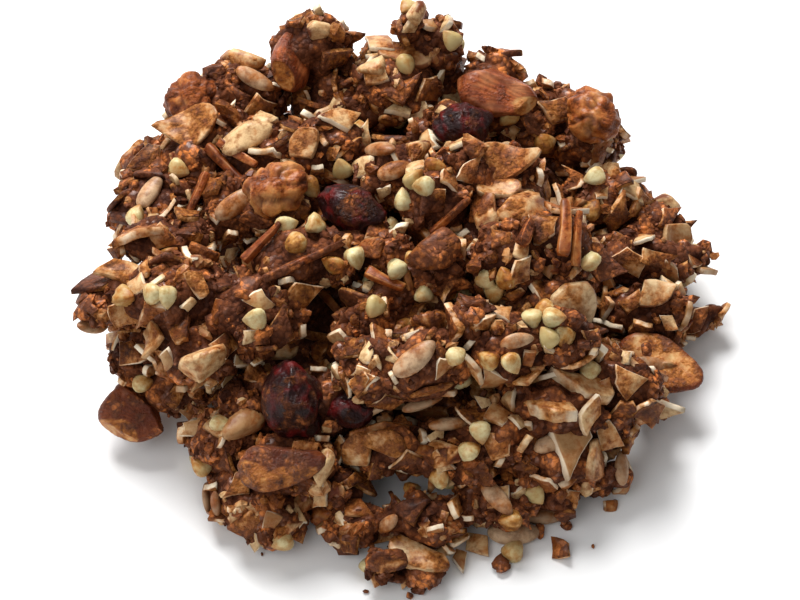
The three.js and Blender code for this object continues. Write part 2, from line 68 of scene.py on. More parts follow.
# Each cluster's middle, its length, width and height, and its turn about the upright in degrees.
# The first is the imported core.
CLUSTERS = np.array([
    (1, 7, 0, 86, 74, 44, 0),
    # the large cluster on the left, lying over its neighbours
    (-52, -11, 23, 17, 13, 9, 20),
    (-41, -12, 26, 22, 16, 13, 0),
    (-38, -20, 21, 19, 15, 13, -15),
    (-27, -16, 26, 18, 17, 14, 10),
    (-44, 1, 26, 20, 10, 9, 10),
    (-48.5, -15.5, 13, 14, 12, 11, 60),
    (-37, -13, 11, 21, 20, 20, 0),
    # behind it, towards the left and back
    (-47, 14, 19, 17, 15, 14, 40),
    (-37, 26, 21, 19, 15, 13, 30),
    (-32, 40, 20, 21, 15, 15, 20),
    (-39, 37, 18, 14, 12, 12, 50),
    (-47, 25, 16.5, 15, 12, 12, 0),
    (-17, 46, 27, 17, 13, 19, 0),
    (-10, 38, 22, 20, 14, 12, -10),
    (-1, 39, 25, 19, 14, 13, 15),
    (6, 46, 26, 12, 12, 18, 0),
    (-26, 21, 25, 18, 15, 12, -20),
    (-15, 21, 28, 19, 14, 13, 25),
    (-30, 10, 25, 18, 13, 11, 40),
    # the top of the heap
    (-22, 6, 29, 14, 13, 12, 0),
    (-20, -7, 30, 16, 12, 12, 35),
    (-12, -6, 30, 17, 11, 10, 15),
    (-10, 2, 25, 18, 14, 12, 0),
    (-1, 14, 29, 14, 13, 11, 60),
    (7, 6, 32, 15, 14, 14, 0),
    (12, 11, 31, 18, 13, 14, 30),
    (20, 13, 28, 16, 14, 14, -20),
    (18, 3, 28, 16, 14, 13, 45),
    # the back on the right
    (10, 28, 24, 15, 13, 11, 10),
    (22, 36, 19, 22, 14, 13, -20),
    (18, 42, 23, 12, 10, 12, 0),
    (29, 37, 18, 16, 13, 13, 20),
    (37, 33, 16, 13.5, 14, 17, -30),
    # the low right side
    (39, 18, 14, 17, 14, 14, 15),
    (47.5, 12.5, 11.5, 17, 13, 12, 30),
    (45, 5, 13, 23, 12, 10, 0),
    (47, -4, 10, 18, 14, 12, -10),
    (46, -12, 6, 17, 13, 10, 10),
    (57, -3, 5, 11.5, 5, 6, 20),
    # the tall cluster right of the middle
    (20, -8, 31, 14, 16, 14, 20),
    (29, -4, 29, 15, 15, 17, 0),
    (27, -13, 25, 17, 12, 13, 10),
    # nuggets in the middle
    (7, -9, 31, 11, 9, 12, 30),
    (-2, -6, 30, 12, 9, 10, -20),
    (-3, -13, 26, 13, 11, 10, 0),
    (-6, -19, 26, 13, 10, 10, 30),
    (13, -21, 29, 9, 9, 13, 0),
    # the two clusters in front of the middle
    (-5, -28, 25, 14, 15, 14, 0),
    (4, -27, 26, 18, 15, 14, 20),
    (20, -24, 26, 17, 14, 13, 0),
    (29, -22, 26, 17, 13, 13, -15),
    # the right of the front
    (39, -25, 17, 20, 13, 13, -25),
    (29, -31, 17, 20, 14, 12, -10),
    (38, -30, 11, 17, 13, 12, 20),
    (29, -38, 10, 19, 14, 12, 0),
    # the middle of the front
    (17, -35, 14, 15, 14, 12, 40),
    (10, -39, 12, 17, 12, 11, 0),
    (-2, -37, 12, 20, 11, 10, -5),
    (-14, -30, 16, 16, 13, 12, 0),
    (-27, -28, 12, 17, 14, 12, 30),
    # the left of the front
    (-42.5, -20, 9, 15, 12, 11, 0),
    (-32, -34, 10, 17, 13, 12, -20),
    (-20.5, -41, 12.5, 20, 13, 12, 10),
    (-28, -44, 6, 19, 13, 11, -30),
    (-23, -48.5, 4, 14, 8, 7, 5),
    (-12, -42.5, 7, 12, 10, 9.5, 20),
    (-8, -49, 5, 13, 9, 9, 0),
    (4.5, -48, 6, 16, 11, 10, -10),
    (18, -44.5, 6, 15, 11, 9, 0),
    (27.5, -41, 6, 13, 9, 9, -25),
    # small pieces along the front edge and the sides
    (38.5, -38.5, 5, 9, 6, 7, 30),
    (46.5, -24.5, 8, 7, 6, 8, 0),
    (56, 7.5, 11.5, 9, 6, 6.5, -20),
    (2.3, 46, 33, 5.5, 5, 13, 0),
    (-3.5, 45, 24, 11, 9, 13, 0),
    (2.8, -56, 3, 11, 7, 4, -35),
    (-3, -57, 3, 7.5, 6.5, 6, 0),
], dtype=float)

# Clusters at the foot of the back and above it: their number, first and last bearing, how far out
# they lie across and behind, their height and their size.
BACK_ARCS = (
    (8, 30, 158, 43, 44, 7, (21, 15, 14)),
    (3, 80, 140, 34, 43, 16, (19, 14, 13)),
)

# Pieces that show from the front, by the point of the picture where each lies.
GROATS_AT = (
    (130, 297), (153, 293), (167, 298), (169, 254), (254, 318), (143, 380), (296, 243), (312, 231),
    (288, 229), (333, 264), (355, 259), (139, 215), (105, 206), (181, 169), (340, 165), (310, 189),
    (415, 179), (424, 187), (436, 166), (406, 199), (508, 117), (544, 140), (445, 40), (406, 66),
    (593, 209), (595, 184), (485, 282), (506, 278), (373, 312), (453, 356), (489, 357), (511, 363),
    (530, 320), (543, 311), (555, 321), (549, 336), (563, 338), (495, 293), (587, 261), (411, 263),
    (462, 292), (424, 288), (404, 320), (589, 368), (480, 434), (439, 480), (281, 540), (222, 427),
    (202, 463), (396, 267), (470, 452), (509, 519), (536, 494),
)

# Across and down in the picture, length in mm, turn in the picture, lean about that length in
# degrees, and how much of the piece is coated with syrup: 0 is bare, and 1 or more is covered.
GROATS_SEEN = [
    (across, down, GROAT_LENGTH, i * GOLDEN_TURN % 360, 0, 0.5 if i % 3 == 0 else 0.2)
    for i, (across, down) in enumerate(GROATS_AT)
]
KERNELS_SEEN = (
    (415, 359, 9.5, 40, 0, 0.3), (517, 342, 6.5, 15, 20, 0.2), (236, 204, 9.5, 38, 20, 0.3),
    (395, 171, 7, 20, 0, 0.4), (622, 468, 7, 70, 0, 0.2), (450, 429, 8, 30, 0, 0.4),
    (650, 364, 7, -5, 0, 0.4), (255, 80, 8.5, -25, 10, 0.3), (381, 151, 7, -35, 0, 0.3),
    (553, 443, 7.5, 20, 0, 0.2), (304, 425, 6, 45, 0, 0.4), (212, 505, 5, 70, 0, 0.4),
    (392, 522, 6, 30, 0, 0.4), (150, 190, 8, 65, 0, 0.1), (497, 499, 8, -50, 0, 0.3),
)
SLICES_SEEN = (
    (573, 305, 14, -60, 10, 0.25), (157, 414, 8, 70, 50, 0.3), (673, 237, 9, 10, 0, 0.35),
    (652, 294, 9, 15, 20, 0.4), (303, 147, 9, 60, 0, 0.5), (190, 129, 14, 5, 20, 0.55),
    (404, 55, 11, -20, 20, 0.5), (380, 431, 11, 8, 60, 0.45), (498, 191, 9, 5, 15, 0.5),
    (215, 425, 7, -50, 0, 0.4), (355, 455, 9, 80, 10, 0.6), (385, 445, 9, -5, 20, 0.6),
    (418, 556, 12, -35, 0, 0.4), (505, 162, 12, 3, 10, 0.5), (480, 385, 9, -50, 30, 0.5),
    (600, 455, 10, 70, 20, 0.5), (660, 372, 10, -20, 10, 0.5),
)
FLAKES_SEEN = (
    (152, 338, 8, 70, 0, 0.3), (244, 365, 8.5, -45, 45, 0.35), (261, 303, 8, 8, 30, 0.35),
    (279, 328, 9, 80, -20, 0.9), (165, 361, 6, 60, 20, 0.3), (224, 380, 7, -15, 0, 0.4),
    (266, 237, 8.5, 60, 30, 0.2), (257, 257, 3.2, 40, 20, 1.4), (250, 291, 8, 50, 10, 1.2),
    (287, 281, 4, 0, 60, 0.1), (163, 238, 8, -15, 20, 0.5), (345, 121, 11, 30, 10, 0.35),
    (476, 365, 8.5, -55, 10, 0.25), (522, 248, 6, -80, 0, 0.3), (504, 315, 7, 75, 20, 0.4),
    (495, 416, 7, 10, 0, 0.35), (572, 368, 9, 5, 30, 0.5), (604, 388, 6, 85, 0, 0.35),
    (609, 438, 8.5, 80, 0, 0.3), (338, 447, 7, 80, 20, 0.5), (668, 216, 8, 40, 20, 0.6),
    (648, 406, 8, -60, 0, 0.6), (402, 445, 10, -5, 10, 0.7), (495, 496, 8, -45, 10, 0.4),
    (622, 262, 10, 10, 20, 0.5), (690, 255, 8, -20, 0, 0.6), (127, 316, 8, -30, 0, 0.5),
    (434, 390, 8, 20, 20, 0.6), (198, 288, 7, -20, 0, 0.5), (595, 180, 6, 40, 0, 0.6),
    (378, 75, 8, 70, 10, 0.35), (321, 497, 5, 60, 0, 0.4), (363, 372, 4.5, 30, 10, 0.2),
    (600, 238, 8, 75, 20, 0.6), (700, 320, 9, 30, 0, 0.7), (270, 520, 6, 20, 0, 0.35),
    (295, 467, 6, 30, 20, 0.3), (327, 469, 6, 50, 0, 0.4), (426, 451, 5, 25, 0, 0.5),
    (606, 307, 6, 85, 0, 0.6), (398, 328, 5, 10, 0, 0.5), (460, 245, 6, 20, 0, 0.6),
    (127, 274, 12, 20, 25, 0.45), (240, 268, 7, -30, 0, 0.7), (118, 250, 7, 40, 0, 0.6),
    (305, 500, 6, -20, 0, 0.5), (640, 330, 8, 10, 20, 0.8), (470, 170, 7, 40, 10, 0.5),
    (352, 480, 6, 0, 0, 0.6), (548, 375, 10, 20, -20, 0.25), (493, 378, 8, 85, 20, 0.35),
    (510, 400, 7, 60, 0, 0.3), (385, 405, 8, 25, -30, 0.7), (350, 345, 9, 30, 20, 0.8),
    (362, 383, 7, -80, 10, 0.5), (430, 412, 9, -30, 30, 0.6), (408, 462, 9, 10, 20, 0.7),
    (440, 462, 7, -20, 20, 0.3), (240, 485, 8, 60, 20, 0.6), (300, 455, 9, 20, 20, 0.6),
    (360, 505, 8, -50, 20, 0.6), (410, 510, 9, 10, 0, 0.9), (455, 505, 7, 60, 20, 0.6),
    (545, 485, 8, -30, 20, 0.6), (590, 420, 9, 85, 20, 0.4), (625, 410, 8, 60, 0, 0.7),
    (630, 380, 9, 20, 10, 0.5), (450, 285, 8, -30, 0, 0.9), (520, 270, 8, 70, 20, 0.5),
    (545, 225, 9, 60, 20, 0.6), (500, 240, 8, 40, 10, 0.7), (430, 200, 9, 60, 20, 0.8),
    (480, 210, 9, -40, 10, 0.6), (320, 215, 8, 30, 0, 0.8), (230, 235, 8, 50, 10, 0.6),
    (190, 215, 9, 60, 0, 0.7), (150, 160, 9, 30, 0, 0.7), (215, 190, 8, -60, 10, 0.7),
    (255, 110, 9, 20, 0, 0.5), (300, 90, 8, 60, 0, 0.6), (335, 60, 9, 40, 0, 0.8),
    (430, 90, 9, 30, 0, 0.7), (560, 110, 10, -30, 0, 0.6), (570, 170, 9, 50, 0, 0.8),
    (620, 215, 9, 80, 0, 0.7), (655, 260, 9, 30, 10, 0.6), (630, 300, 9, 70, 10, 0.7),
    (180, 330, 8, 60, 0, 0.8), (215, 310, 7, 20, 0, 0.6), (225, 345, 8, 80, 0, 0.7),
    (130, 350, 8, -40, 0, 0.6), (175, 400, 8, 30, 0, 0.7), (210, 400, 8, -30, 10, 0.5),
)
SLIVERS_SEEN = (
    (303, 260, 18, 22, 0, 0.8), (340, 313, 11, -50, 0, 0.45), (231, 167, 13, -27, 0, 0.55),
    (204, 200, 10, -70, 0, 0.6), (450, 215, 10, 47, 0, 0.6), (565, 228, 12, 82, 0, 0.5),
    (577, 238, 11, 75, 0, 0.5), (240, 155, 10, -30, 0, 0.6), (385, 283, 8, -35, 0, 0.5),
    (412, 275, 5, 60, 0, 0.2), (525, 235, 9, 60, 10, 0.7), (265, 245, 10, 50, 10, 0.5),
)
SLABS_SEEN = (
    (553, 408, 15, -8, -50, 0.35), (567, 452, 17, 80, 10, 0.1), (588, 385, 14, -35, 10, 0.4),
    (146, 229, 12.5, 8, -50, 0.55), (455, 322, 8, -75, 20, 0.7), (365, 385, 9, 20, -30, 0.6),
    (152, 312, 10, 25, 40, 0.5),
)
CHUNKS_SEEN = (
    (202, 362, 8.5, 60, 0, 0.3), (434, 254, 10, -40, 0, 0.9), (466, 248, 5, 20, 0, 0.6),
    (241, 428, 7.5, 40, 0, 0.35), (416, 151, 6, 0, 0, 0.6), (248, 138, 8, 30, 0, 0.1),
    (320, 28, 5.5, 0, 0, 0.2), (246, 64, 6, 0, 0, 0.5), (385, 562, 6, 0, 0, 0.9),
    (373, 71, 5, 60, 0, 0.3), (518, 211, 9, 0, 0, 0.6), (414, 14, 5, 80, 0, 0.3),
    (490, 224, 6, 0, 0, 0.5), (372, 250, 5, 10, 0, 0.6), (447, 452, 6, 0, 0, 0.6),
    (320, 468, 5.5, 60, 0, 0.1),
)
WALNUTS_SEEN = (
    (277, 192, 13, 20, 0, 0.35), (194, 101, 12, 30, 0, 0.5), (593, 121, 12, -60, 0, 0.4),
)

# The same for pieces that lie on the floor.
KERNELS_DOWN = (
    (514, 536, 10, 0, 0, 0.15), (541, 517, 9.5, -5, 0, 0.2),
)
GROATS_DOWN = (
    (514, 554, 4.6, 60, 0, 0.3), (202, 463, 4.6, -20, 0, 0.2),
)
FLAKES_DOWN = (
    (444, 550, 5.2, 20, 20, 0.1), (461, 562, 6, -75, 0, 0.15), (476, 548, 7.5, -40, 10, 0.4),
    (559, 552, 6.2, -60, 30, 0.6), (612, 507, 4.5, 40, 40, 0.5), (599, 492, 6.5, 10, 0, 0.6),
)
CRUMBS_DOWN = (  # across, down and size only
    (593, 494, 2.2), (501, 567, 3.0), (419, 591, 2.0), (540, 534, 3.4), (567, 527, 1.8), (593, 547, 0.8),
    (262, 555, 0.7), (185, 446, 0.7), (663, 388, 0.8), (655, 300, 1.2), (410, 597, 1.4), (366, 592, 0.8),
)

# Berries and almonds: middle, size, turn about the upright and lean about the length. An almond's last
# value is how dark its skin is.
BERRIES = {
    "dried_cranberry_front": ((-19.8, -32, 20), (11.5, 14, 16.5), 15, 0),
    "dried_cranberry_top": ((-9, 2.6, 33), (13.5, 9, 8.5), -30, 0),
    "dried_cranberry_back": ((12, 26.5, 28.5), (12, 8.5, 8), 10, 0),
    "dried_cranberry_low": ((-9, -32.5, 18.5), (9.5, 7, 6.5), 0, 20),
}
ALMONDS = {
    "almond_back_right": ((19, 35, 28), (16.5, 10, 6.5), -22, 25, -0.1),
    "almond_back_left": ((-21, 42, 30), (14, 9.5, 6), 80, 60, 0.2),
    "almond_right": ((49, -16.5, 9.5), (17, 11, 6.5), -25, 15, 0.4),
    "almond_left": ((-50, -26.5, 7.5), (13.2, 10.5, 6.5), -30, 30, 0.7),
    "almond_front": ((-21.5, -44.5, 18), (16, 9, 6.5), 8, 20, 0.9),
}
# Where each almond is flattened: directions in its own axes, how far out as shares of its half size,
# and 1 where it is broken to the bare flesh.
ALMOND_CUTS = {
    "almond_back_right": (
        ((1, -0.3, 0.2), 0.8, 1), ((0.22, -0.1, 0.97), 0.62, 0),
        ((0, 1, 0.3), 0.72, 0), ((-0.7, 0.7, 0.1), 0.78, 0),
    ),
    "almond_back_left": (
        ((-1, 0.3, 0), 0.8, 1), ((0, 0.3, 1), 0.7, 0), ((0.5, -0.8, 0.3), 0.75, 0),
    ),
    "almond_right": (
        ((-0.6, -0.6, 0.2), 0.75, 1), ((0.1, 0.1, 1), 0.35, 1),
    ),
    "almond_left": (
        ((0.29, -0.04, 0.95), 0.4, 0), ((0.1, 1, 0.2), 0.72, 0), ((-0.2, -1, 0.3), 0.74, 1),
        ((-1, 0.2, 0), 0.86, 0), ((0.8, 0.6, 0.1), 0.74, 0), ((0.8, -0.5, 0.2), 0.84, 0),
    ),
    "almond_front": (
        ((-1, -0.3, 0.4), 0.84, 1), ((0.1, -1, 0.45), 0.62, 1),
        ((-0.08, -0.27, 0.96), 0.5, 0), ((0.2, 1, 0.3), 0.7, 0),
    ),
}

# How the pieces that show lie: how deep they sink into the crumb, in mm, and the share of their length
# that rests on it.
LYING = {
    "slices": (SLICES_SEEN, 0.25, 1),
    "slabs": (SLABS_SEEN, 0.6, 1),
    "walnuts": (WALNUTS_SEEN, -1.5, 0),
    "flakes": (FLAKES_SEEN, 0.25, 1),
    "slivers": (SLIVERS_SEEN, -0.3, 1),
    "chunks": (CHUNKS_SEEN, -0.9, 0),
    "kernels": (KERNELS_SEEN, -0.5, 0.5),
    "groats": (GROATS_SEEN, -0.9, 0),
}
# The pieces on the floor, and how high their middles are as shares of their length.
DOWN = {"kernels": (KERNELS_DOWN, 0.14), "groats": (GROATS_DOWN, 0.35), "flakes": (FLAKES_DOWN, 0.16)}

# More of them where the front doesn't reach: seed, how many at most, range of lengths, how far apart as a
# share of the length, tilt, and range of coats. They lie as those that show do.
UNSEEN = {
    "slices": (1, 26, (9, 14), 0.45, 0.35, (0.3, 0.8)),
    "slabs": (8, 10, (10, 15), 0.45, 0.35, (0.3, 0.7)),
    "walnuts": (9, 6, (10, 13), 0.45, 0.35, (0.2, 0.6)),
    "chunks": (2, 30, (5, 11), 0.45, 0.35, (0.1, 0.9)),
    "slivers": (3, 26, (7, 13), 0.35, 0.35, (0.4, 0.9)),
    "kernels": (4, 26, (6.5, 9.5), 0.4, 0.35, (0.1, 0.6)),
    "groats": (5, 90, (4.1, 4.8), 0.5, 0.6, (0, 0.5)),
}
# Broken pieces all over the heap, in the same way, with how deep they sink, in mm, after the tilt.
ALL_OVER = {
    "flakes": (6, 1300, (4.5, 12.0), 0.175, 0.6, -0.1, (0, 1.1)),
    "blocks": (10, 400, (3.5, 9.0), 0.25, 0.8, 0.3, (0, 0)),
    "shards": (7, 1500, (2.6, 7.0), 0.2, 0.8, 0.1, (0.3, 1.1)),
}
# How far a piece keeps others off, as a share of its length: a berry or an almond, and any other that shows.
BERRY_REACH = 0.45
PIECE_REACH = 0.36


# ---- Arithmetic on whole arrays ------------------------------------------------------------------


def unit(vectors):
    """Vectors of length 1 in the same directions."""
    return vectors / np.linalg.norm(vectors, axis=-1, keepdims=True)


def hashed(cells, seed):
    """A value from -1 to 1 for each whole-number cell of space, always the same for a cell and seed, from
    products with large primes."""
    mixed = cells @ np.array([73856093, 19349663, 83492791]) + seed * 2654435761
    mixed = (mixed ^ (mixed >> 13)) * 1274126177
    return ((mixed ^ (mixed >> 16)) & 0xFFFF) / 32767.5 - 1


def noise(points, size, seed):
    """Smooth noise: hashed values at the corners of cells of a size, blended by 3t^2 - 2t^3."""
    scaled = points / size
    cell = np.floor(scaled).astype(np.int64)
    part = scaled - cell
    part = part * part * (3 - 2 * part)
    total = 0
    for corner in np.ndindex(2, 2, 2):
        weight = np.prod(np.where(corner, part, 1 - part), axis=-1)
        total = total + weight * hashed(cell + np.array(corner), seed)
    return total


def rough(points, size, layers, seed):
    """Layers of noise, each half as large and half as high as the one before."""
    return sum(noise(points, size / 2**k, seed + k) / 2**k for k in range(layers))


def nuggets(points, size, seed):
    """Bumps packed side by side, each with a height of its own: 1 less the least of the squared distance to
    a cell's own point with a share of its hashed value."""
    scaled = points / size
    cell = np.floor(scaled).astype(np.int64)
    nearest = np.full(scaled.shape[:-1], np.inf)
    for step in np.ndindex(3, 3, 3):
        corner = cell + np.array(step) - 1
        seat = corner + 0.5 + 0.42 * np.stack([hashed(corner, seed + axis) for axis in range(3)], -1)
        nearest = np.minimum(nearest, ((scaled - seat) ** 2).sum(-1) + 0.3 * hashed(corner, seed + 3))
    return 1 - nearest


# ---- The clusters as ellipsoids ------------------------------------------------------------------


def back_arcs():
    """Clusters spaced evenly along arcs round the back, in rows like those of CLUSTERS."""
    rows = []
    for count, first, last, across, behind, height, size in BACK_ARCS:
        i = np.arange(count)
        bearing = np.radians(first + (last - first) * i / (count - 1))
        sway = 1 + 0.04 * np.sin(2.4 * i)
        rows.append(np.stack([
            across * sway * np.cos(bearing),
            2 + behind * sway * np.sin(bearing),
            height + 1.5 * np.sin(1.9 * i),
            *(side * (1 + 0.15 * np.sin(2.1 * i + axis)) for axis, side in enumerate(size)),
            np.degrees(bearing) + 90 + 25 * np.sin(3.3 * i),
        ], -1))
    return np.concatenate(rows)


LUMPS = np.concatenate([CLUSTERS, back_arcs()])
CENTRES = LUMPS[:, :3]
HALVES = 0.97 * LUMPS[:, 3:6] / 2  # a little less than given, because the relief stands out of them


def upright_turns(degrees):
    """Turns about the upright, as matrices."""
    angle = np.radians(degrees)
    flat = np.zeros_like(angle)
    rows = (np.cos(angle), -np.sin(angle), flat, np.sin(angle), np.cos(angle), flat, flat, flat, flat + 1)
    return np.stack(rows, -1).reshape(-1, 3, 3)


SHAPES = upright_turns(LUMPS[:, 6]) * HALVES[:, None]  # carries the unit ball to each lump
UNSHAPES = np.linalg.inv(SHAPES)


NUGGET_ACROSS = 4.4
NUGGET_RISE = 2.3
NUGGET_SINK = 2.1


def relief(points):
    """How far the crumb stands out of the ellipsoids, in mm: packed nuggets, with coarse and fine noise."""
    return (
        NUGGET_RISE * nuggets(points, NUGGET_ACROSS, 11) - NUGGET_SINK
        + 0.8 * rough(points, 7.0, 2, 21)
        + 0.7 * rough(points, 2.6, 2, 31)
    )


def outside(points, share):
    """Whether each point is outside every lump, with the lumps shrunk to a share of their size."""
    local = np.einsum("lij,plj->pli", UNSHAPES, points[:, None] - CENTRES)
    return ((local**2).sum(-1) > share**2).all(1)


def first_hit(start, ways):
    """Where lines from a point first meet the lumps: each ellipsoid gives a quadratic in the reach. Gives
    the points, the normals there, and whether each line meets any."""
    origin = np.einsum("lij,lj->li", UNSHAPES, start - CENTRES)
    step = np.einsum("lij,rj->rli", UNSHAPES, ways)
    square = (step**2).sum(-1)
    half = (step * origin).sum(-1)
    left = half**2 - square * ((origin**2).sum(-1) - 1)
    reach = np.where(left > 0, (-half - np.sqrt(np.maximum(left, 0))) / square, np.inf)
    lump = reach.argmin(1)
    ray = np.arange(len(ways))
    reach = reach[ray, lump]
    met = np.isfinite(reach)
    ball = origin[lump] + np.where(met, reach, 0)[:, None] * step[ray, lump]
    normal = unit(np.einsum("rji,rj->ri", UNSHAPES[lump], ball))
    return start + np.where(met, reach, 0)[:, None] * ways, normal, met


# ---- Places --------------------------------------------------------------------------------------

# Where a lying piece may touch, along it and aside, as shares of half its length.
FOOTPRINT = ((0, 0), (0.8, 0), (-0.8, 0), (0, 0.5), (0, -0.5))
TIPPED_SINK = 0.12  # how much deeper a piece on edge sits than a flat one, as a share of its length
IN_VIEW_WITHIN = 2.5


def turned(out, along, lean):
    """Turns with columns along, aside and out, leaning about the length by an angle in degrees."""
    along = unit(along - (along * out).sum(-1, keepdims=True) * out)
    aside = np.cross(out, along)
    angle = np.radians(lean)[:, None]
    face = np.cos(angle) * out - np.sin(angle) * aside
    return np.stack([along, np.cross(face, along), face], -1)


def lifted(seat, out, turn, reach, sink):
    """Seats moved out to the highest of the relief over a footprint, less what each piece sinks in."""
    spots = [seat + reach[:, None] * (a * turn[..., 0] + b * turn[..., 1]) for a, b in FOOTPRINT]
    return seat + out * (np.max([relief(spot) for spot in spots], axis=0) - sink)[:, None]


def sight_lines(rows):
    """Lines of sight through points of the picture, from rows that start with across and down."""
    across = rows[:, :1] - PICTURE_MIDDLE[0]
    above = PICTURE_MIDDLE[1] - rows[:, 1:2]
    return unit(across * RIGHT + above * UP - FOCAL_PIXELS * BACK)


def seen_places(rows, sink, flat):
    """Seats, turns, lengths and coats of pieces at points of the picture. A flat piece lies on the highest
    relief under it, and a round one sits in the middle of it."""
    rows = np.array(rows, dtype=float)
    seat, out, met = first_hit(EYE, sight_lines(rows))
    angle = np.radians(rows[:, 3:4])
    turn = turned(out, np.cos(angle) * RIGHT + np.sin(angle) * UP, rows[:, 4])
    seat = lifted(seat, out, turn, rows[:, 2] / 2 * flat, sink)
    return seat[met], turn[met], rows[met, 2], rows[met, 5]


def on_the_floor(rows, share):
    """The same where the line of sight comes down to the floor, a share of each piece's length above it."""
    rows = np.array(rows, dtype=float)
    way = sight_lines(rows)
    seat = EYE - way * EYE[2] / way[:, 2:]
    seat[:, 2] = share * rows[:, 2]
    angle = np.radians(rows[:, 3:4])
    along = np.concatenate([np.cos(angle), np.sin(angle), np.zeros_like(angle)], 1)
    upright = np.tile([0.0, 0.0, 1.0], (len(rows), 1))
    return seat, turned(upright, along, rows[:, 4]), rows[:, 2], rows[:, 5]


def in_view(seats):
    """Whether each seat shows from the eye: the line to it first meets the clusters close to it."""
    hit, _, met = first_hit(EYE, unit(seats - EYE))
    return met & (np.linalg.norm(hit - seats, axis=1) < IN_VIEW_WITHIN)


class Room:
    """The places that are taken: their seats, and how far each keeps others off."""

    def __init__(self):
        self.seats = np.empty((0, 3))
        self.radii = np.empty(0)

    def take(self, seats, radii):
        """Marks places as taken."""
        self.seats = np.concatenate([self.seats, seats])
        self.radii = np.concatenate([self.radii, radii])

    def clear(self, seats, radii):
        """Which seats are clear of every taken place."""
        square = (seats**2).sum(1)[:, None] + (self.seats**2).sum(1) - 2 * seats @ self.seats.T
        return (square > (self.radii + radii[:, None]) ** 2).all(1)

    def thin(self, seats, radii, most):
        """Takes seats one after another where they are clear, at most so many, and gives their indices."""
        kept = []
        for i in range(len(seats)):
            if len(kept) < most and self.clear(seats[i : i + 1], radii[i : i + 1])[0]:
                kept.append(i)
                self.take(seats[i : i + 1], radii[i : i + 1])
        return np.array(kept, dtype=int)


room = Room()


def scattered(seed, most, sizes, sink, apart, flat=0.0, unseen=False, tilt=0.35, patches=-1.0):
    """Places at random all over the outside of the heap, with sizes in a range and more of them small.
    Each keeps clear of the others by a share of its size, or with a share of 0 only of the larger pieces.
    Unseen ones lie only where the eye doesn't reach. A tilt of 1 turns most of them well out of the
    surface, and the more a piece is tilted, the deeper it sits. Patches from -1 to 1 leave more and more
    of the heap bare between the places."""
    rng = np.random.default_rng(seed)
    tries = most * (12 if unseen else 7)  # many of them are ruled out below
    area = HALVES.sum(1) ** 2
    area[0] *= 0.5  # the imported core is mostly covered
    lump = rng.choice(len(LUMPS), tries, p=area / area.sum())
    ball = unit(rng.normal(size=(tries, 3)))
    seat = CENTRES[lump] + np.einsum("pij,pj->pi", SHAPES[lump], ball)
    out = unit(np.einsum("pji,pj->pi", UNSHAPES[lump], ball))
    face = unit(out + tilt * rng.normal(size=(tries, 3)))
    turn = turned(face, rng.normal(size=(tries, 3)), np.zeros(tries))
    length = sizes[0] + (sizes[1] - sizes[0]) * rng.random(tries) ** 2
    free = outside(seat + 0.3 * out, 0.99) & (seat[:, 2] > 0.8)
    free &= room.clear(seat, np.maximum(apart, 0.1) * length)
    if patches > -1:
        free &= noise(seat, 6.0, 91) > patches
    if unseen:
        free &= ~in_view(seat)
    seat, out, turn, length = seat[free], out[free], turn[free], length[free]
    kept = room.thin(seat, apart * length, most) if apart else np.arange(min(most, len(seat)))
    seat, out, turn, length = seat[kept], out[kept], turn[kept], length[kept]
    tipped = np.linalg.norm(np.cross(out, turn[..., 2]), axis=1)
    seat = lifted(seat, out, turn, length / 2 * flat, sink + TIPPED_SINK * length * tipped)
    return seat, turn, length


# ---- Meshes --------------------------------------------------------------------------------------


def triangles(quads):
    """Each four-cornered face as two triangles."""
    return np.concatenate([quads[:, [0, 1, 2]], quads[:, [0, 2, 3]]])


def ball_grid(steps):
    """A closed ball from one square grid: |u| + |v| below 1 is its upper half, and the corners fold under."""
    u, v = np.meshgrid(np.linspace(-1, 1, steps + 1), np.linspace(-1, 1, steps + 1), indexing="ij")
    height = 1 - np.abs(u) - np.abs(v)
    x = np.where(height < 0, (1 - np.abs(v)) * np.where(u < 0, -1, 1), u)
    y = np.where(height < 0, (1 - np.abs(u)) * np.where(v < 0, -1, 1), v)
    points = unit(np.stack([x, y, height], -1).reshape(-1, 3))
    corner = np.arange(len(points)).reshape(steps + 1, steps + 1)
    quads = np.stack([corner[:-1, :-1], corner[1:, :-1], corner[1:, 1:], corner[:-1, 1:]], -1)
    kept, place = np.unique(np.round(points, 6) + 0.0, axis=0, return_inverse=True)
    faces = triangles(place.reshape(-1)[quads.reshape(-1, 4)])
    # With an odd number of steps the fold closes one side of a square, which leaves a triangle of no width.
    return unit(kept), faces[(faces != np.roll(faces, 1, axis=1)).all(1)]


def round_grid(rows, columns):
    """A surface closed at both ends: the row and the angle of each point, and the faces."""
    row = np.concatenate([[0], np.repeat(np.arange(1, rows), columns), [rows]])
    angle = np.concatenate([[0], np.tile(np.arange(columns) * 2 * np.pi / columns, rows - 1), [0]])
    ring = 1 + np.arange((rows - 1) * columns).reshape(rows - 1, columns)
    after = np.roll(ring, -1, axis=1)
    sides = np.stack([ring[:-1], ring[1:], after[1:], after[:-1]], -1).reshape(-1, 4)
    first = np.stack([np.zeros(columns, int), ring[0], after[0]], -1)
    last = np.stack([np.full(columns, row.size - 1), after[-1], ring[-1]], -1)
    return row, angle, np.concatenate([triangles(sides), first, last])


def carried(shapes, seat, turn):
    """Shapes of (copies, corners, 3) carried to their seats and turns."""
    return np.einsum("pij,pvj->pvi", turn, shapes) + seat[:, None]


